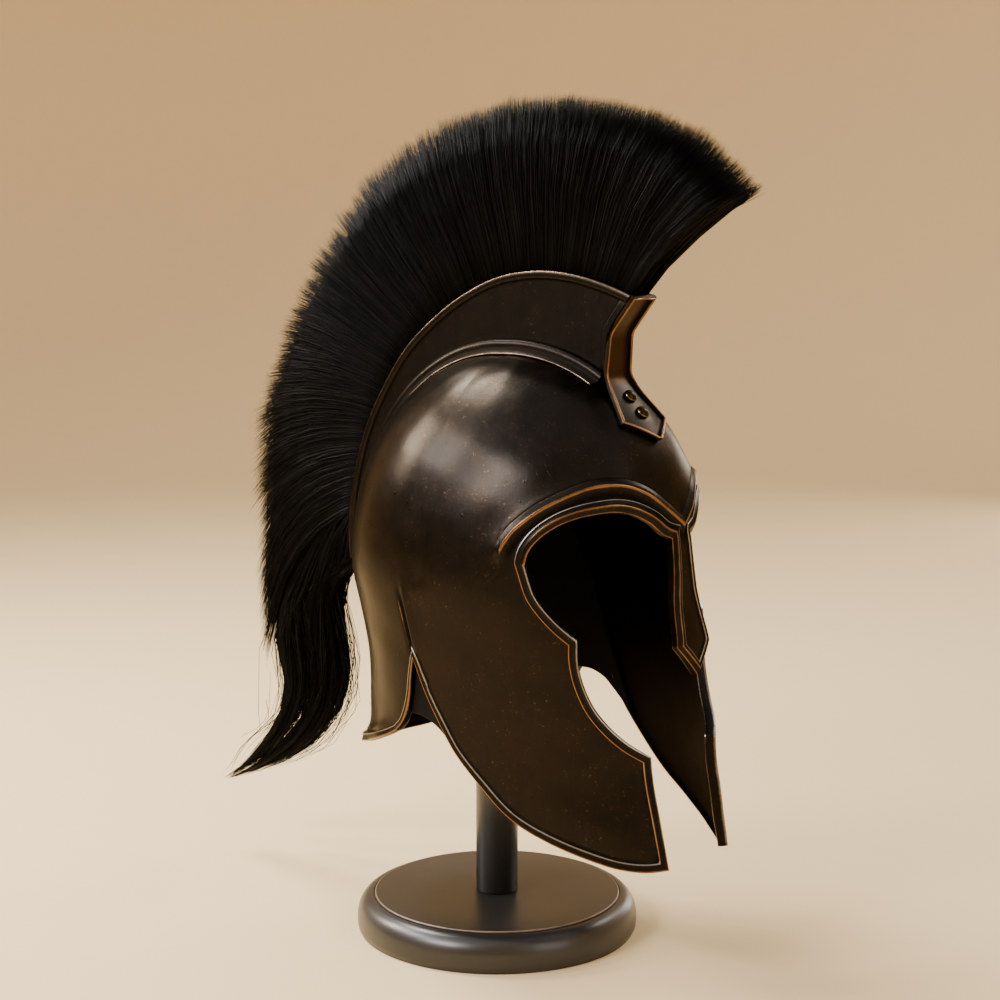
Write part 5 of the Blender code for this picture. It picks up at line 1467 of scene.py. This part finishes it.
def lacquer(name, colour, worn):
    """Satin black lacquer on turned wood: faint orange peel, dust and a rubbed edge."""
    finish = Finish(name)
    place = finish.place
    start = finish.start
    peel = start.noise(place, 160.0, 2.0)
    clouds = start.noise(place, 16.0, 4.0)
    dust = start.noise(place, 1100.0, 1.0).between(0.72, 0.80)
    rubbed = (finish.mark("wear") * (0.5 + start.noise(place, 130.0, 3.0))).between(0.45, 0.95)
    base = clouds.between(0.35, 0.75).mix(colour, tuple(1.9 * part for part in colour))
    base = (dust * 0.25).mix(base, tuple(14 * part for part in colour))
    return finish.set(Base_Color=rubbed.mix(base, worn), Roughness=0.30 + clouds * 0.16 + rubbed * 0.1,
                      Coat_Weight=0.25, Coat_Roughness=0.28,
                      Normal=finish.bump(peel * 0.6 + clouds * 0.4, 0.00012, 0.6))


def build_stage(settings):
    """A plain pale floor that curves up far away all round, soft lights and the camera."""
    finish = Finish("pale paper")
    grain = finish.start.noise(finish.place, 35.0, 3.0)
    pale = tuple(settings.floor_colour)
    finish.set(Base_Color=grain.mix(pale, tuple(0.96 * part for part in pale)), Roughness=0.9,
               Specular_IOR_Level=0.1)
    bend = np.linspace(0, pi / 2, 13)
    profile = [(0.0, 0.0), (1.0, 0.0), (2.2, 0.0)]
    profile += [(2.6 + 1.2 * np.sin(a), 1.2 - 1.2 * np.cos(a)) for a in bend] + [(3.8, 4.0)]
    radius, height = np.array(profile, float)[::-1].T[:, :, None]
    patches = Patchwork()
    patches.grid(turned_points(radius, height, FLOOR_SIDES), both_sides=False)
    floor = patches.piece("floor", finish.material, weld=0, sharp=0)
    for name, place, size, power, colour in LAMPS:
        data = bpy.data.lights.new(name, "AREA")
        data.shape = "RECTANGLE"
        data.size, data.size_y = size
        data.energy = power
        data.color = colour
        lamp = bpy.data.objects.new(name, data)
        lamp.location = place
        aim = np.array(LAMP_AIM) - np.array(place)
        lamp.rotation_euler = (np.arctan2(np.hypot(aim[0], aim[1]), -aim[2]), 0.0,
                               np.arctan2(-aim[0], aim[1]))
        bpy.context.scene.collection.objects.link(lamp)
    world = bpy.data.worlds.new("studio")
    world.use_nodes = True
    background = world.node_tree.nodes["Background"]
    background.inputs["Color"].default_value = (*settings.fill_colour, 1.0)
    background.inputs["Strength"].default_value = settings.fill_strength
    bpy.context.scene.world = world
    data = bpy.data.cameras.new("photo view")
    data.lens = LENS
    data.sensor_width = SENSOR
    data.sensor_fit = "HORIZONTAL"
    camera = bpy.data.objects.new("photo view", data)
    camera.location = CAMERA_PLACE
    camera.rotation_euler = (pi / 2 - CAMERA_DIP, 0.0, -CAMERA_TURN)
    bpy.context.scene.collection.objects.link(camera)
    bpy.context.scene.camera = camera


def colour_setting(name, description, default):
    return bpy.props.FloatVectorProperty(name=name, description=description, default=default,
                                         min=0.0, max=1.0, subtype="COLOR")


def length_setting(name, description, default, low, high):
    return bpy.props.FloatProperty(name=name, description=description, default=default,
                                   min=low, max=high, unit="LENGTH")


class HelmetSettings(bpy.types.PropertyGroup):
    brow_raise: length_setting(
        "Brow raise", "Height of the ridge over the eyes", 0.0030, 0.0, 0.006)
    crease_raise: length_setting(
        "Crease raise", "Height of the crease over the slit behind the cheek", 0.0016, 0.0, 0.004)
    border_raise: length_setting(
        "Border raise", "Height of the raised border round the openings", 0.0015, 0.0005, 0.003)
    metal_colour: colour_setting(
        "Metal", "Dark patina of the helmet", (0.0150, 0.0130, 0.0115))
    brown_colour: colour_setting(
        "Brown clouds", "Warmer areas of the patina", (0.0205, 0.0150, 0.0110))
    worn_colour: colour_setting(
        "Copper edges", "Rubbed edges that show copper", (0.22, 0.118, 0.055))
    # Pale edge colour: partly worn metal, partly a painted highlight along the edges.
    silver_and_highlight_colour: colour_setting(
        "Silver edges and highlights", "Rubbed edges that show pale metal", (0.28, 0.27, 0.255))
    # Black leather, dark enough to stand in for the shade inside the helmet as well.
    lining_shade_colour: colour_setting(
        "Lining", "Black leather inside the helmet", (0.0030, 0.0024, 0.0018))


class CrestSettings(bpy.types.PropertyGroup):
    strand_radius: length_setting(
        "Strand radius", "Radius of one strand of horsehair", 0.00024, 0.0001, 0.001)
    hair_colour: colour_setting(
        "Hair", "Colour of the horsehair", (0.0014, 0.0013, 0.0012))
    tip_colour: colour_setting(
        "Cut ends", "Colour of the hair's cut ends", (0.030, 0.026, 0.023))


class StandSettings(bpy.types.PropertyGroup):
    stand_colour: colour_setting(
        "Lacquer", "Colour of the turned stand", (0.0080, 0.0075, 0.0075))
    floor_colour: colour_setting(
        "Floor", "Colour of the plain floor", (0.74, 0.57, 0.33))
    fill_colour: colour_setting(
        "Fill", "Colour of the light from all round", (1.0, 0.95, 0.88))
    fill_strength: bpy.props.FloatProperty(
        name="Fill strength", description="Strength of the light from all round", default=1.0,
        min=0.0, max=5.0)


class HELMET_OT_sheet(bpy.types.Operator):
    """Make the helmet's sheet with its borders, brow ridge and crease, and its lining"""
    bl_idname = "helmet.sheet"
    bl_label = "Helmet sheet"

    def execute(self, context):
        settings = context.scene.helmet_settings
        finish = patinated("dark bronze", tuple(settings.metal_colour), tuple(settings.brown_colour),
                           tuple(settings.worn_colour), tuple(settings.silver_and_highlight_colour), SHEET_ROUGHNESS)
        build_shell(settings, finish)
        build_lining(hide("black leather", tuple(settings.lining_shade_colour)))
        return {"FINISHED"}


class HELMET_OT_holder(bpy.types.Operator):
    """Make the trough that holds the crest, its front strap and the strap's rivets"""
    bl_idname = "helmet.holder"
    bl_label = "Crest holder, strap and rivets"

    def execute(self, context):
        settings = context.scene.helmet_settings
        dark = tuple(0.85 * part for part in settings.metal_colour)
        finish = patinated("holder bronze", dark, tuple(0.75 * part for part in settings.brown_colour),
                           tuple(settings.worn_colour), tuple(settings.silver_and_highlight_colour), HOLDER_ROUGHNESS)
        build_holder(finish)
        build_strap(finish)
        brass = patinated("worn brass", tuple(0.9 * part for part in settings.brown_colour),
                          tuple(1.5 * part for part in settings.brown_colour),
                          BRASS_WORN, BRASS_PALE, RIVET_ROUGHNESS)
        build_rivets(brass)
        return {"FINISHED"}


class HELMET_OT_plume(bpy.types.Operator):
    """Make the horsehair plume, four fans of strands and the hanging tail"""
    bl_idname = "helmet.plume"
    bl_label = "Horsehair plume"

    def execute(self, context):
        settings = context.scene.crest_settings
        finish = horsehair("horsehair", tuple(settings.hair_colour), tuple(settings.tip_colour))
        for seed, fan in enumerate(FANS):
            made = build_fan(fan, settings.strand_radius, finish, seed)
            hand_over(made, "horsehair", fan.node)
        build_tail(settings.strand_radius, finish, len(FANS))
        return {"FINISHED"}


class HELMET_OT_stand(bpy.types.Operator):
    """Make the turned stand's foot and post"""
    bl_idname = "helmet.stand"
    bl_label = "Stand"

    def execute(self, context):
        settings = context.scene.stand_settings
        finish = lacquer("black lacquer", tuple(settings.stand_colour), LACQUER_WORN)
        build_base(finish)
        build_post(finish)
        return {"FINISHED"}


class HELMET_OT_stage(bpy.types.Operator):
    """Make the floor, the lights and the camera"""
    bl_idname = "helmet.stage"
    bl_label = "Stage"

    def execute(self, context):
        build_stage(context.scene.stand_settings)
        return {"FINISHED"}


class HELMET_PT_sidebar(bpy.types.Panel):
    bl_label = "Greek Crested Helmet"
    bl_idname = "HELMET_PT_sidebar"
    bl_space_type = "VIEW_3D"
    bl_region_type = "UI"
    bl_category = "Helmet"

    def draw(self, context):
        for group in (context.scene.helmet_settings, context.scene.crest_settings,
                      context.scene.stand_settings):
            box = self.layout.box()
            for name in group.__annotations__:
                box.prop(group, name)
        for operator in OPERATORS:
            self.layout.operator(operator.bl_idname)


OPERATORS = (HELMET_OT_sheet, HELMET_OT_holder, HELMET_OT_plume, HELMET_OT_stand, HELMET_OT_stage)
CLASSES = (HelmetSettings, CrestSettings, StandSettings, *OPERATORS, HELMET_PT_sidebar)


def register():
    for each in CLASSES:
        bpy.utils.register_class(each)
    bpy.types.Scene.helmet_settings = bpy.props.PointerProperty(type=HelmetSettings)
    bpy.types.Scene.crest_settings = bpy.props.PointerProperty(type=CrestSettings)
    bpy.types.Scene.stand_settings = bpy.props.PointerProperty(type=StandSettings)


def unregister():
    del bpy.types.Scene.helmet_settings
    del bpy.types.Scene.crest_settings
    del bpy.types.Scene.stand_settings
    for each in reversed(CLASSES):
        bpy.utils.unregister_class(each)


def main():
    register()
    bpy.ops.helmet.sheet()
    bpy.ops.helmet.holder()
    bpy.ops.helmet.plume()
    bpy.ops.helmet.stand()
    bpy.ops.helmet.stage()


if __name__ == "__main__":
    main()
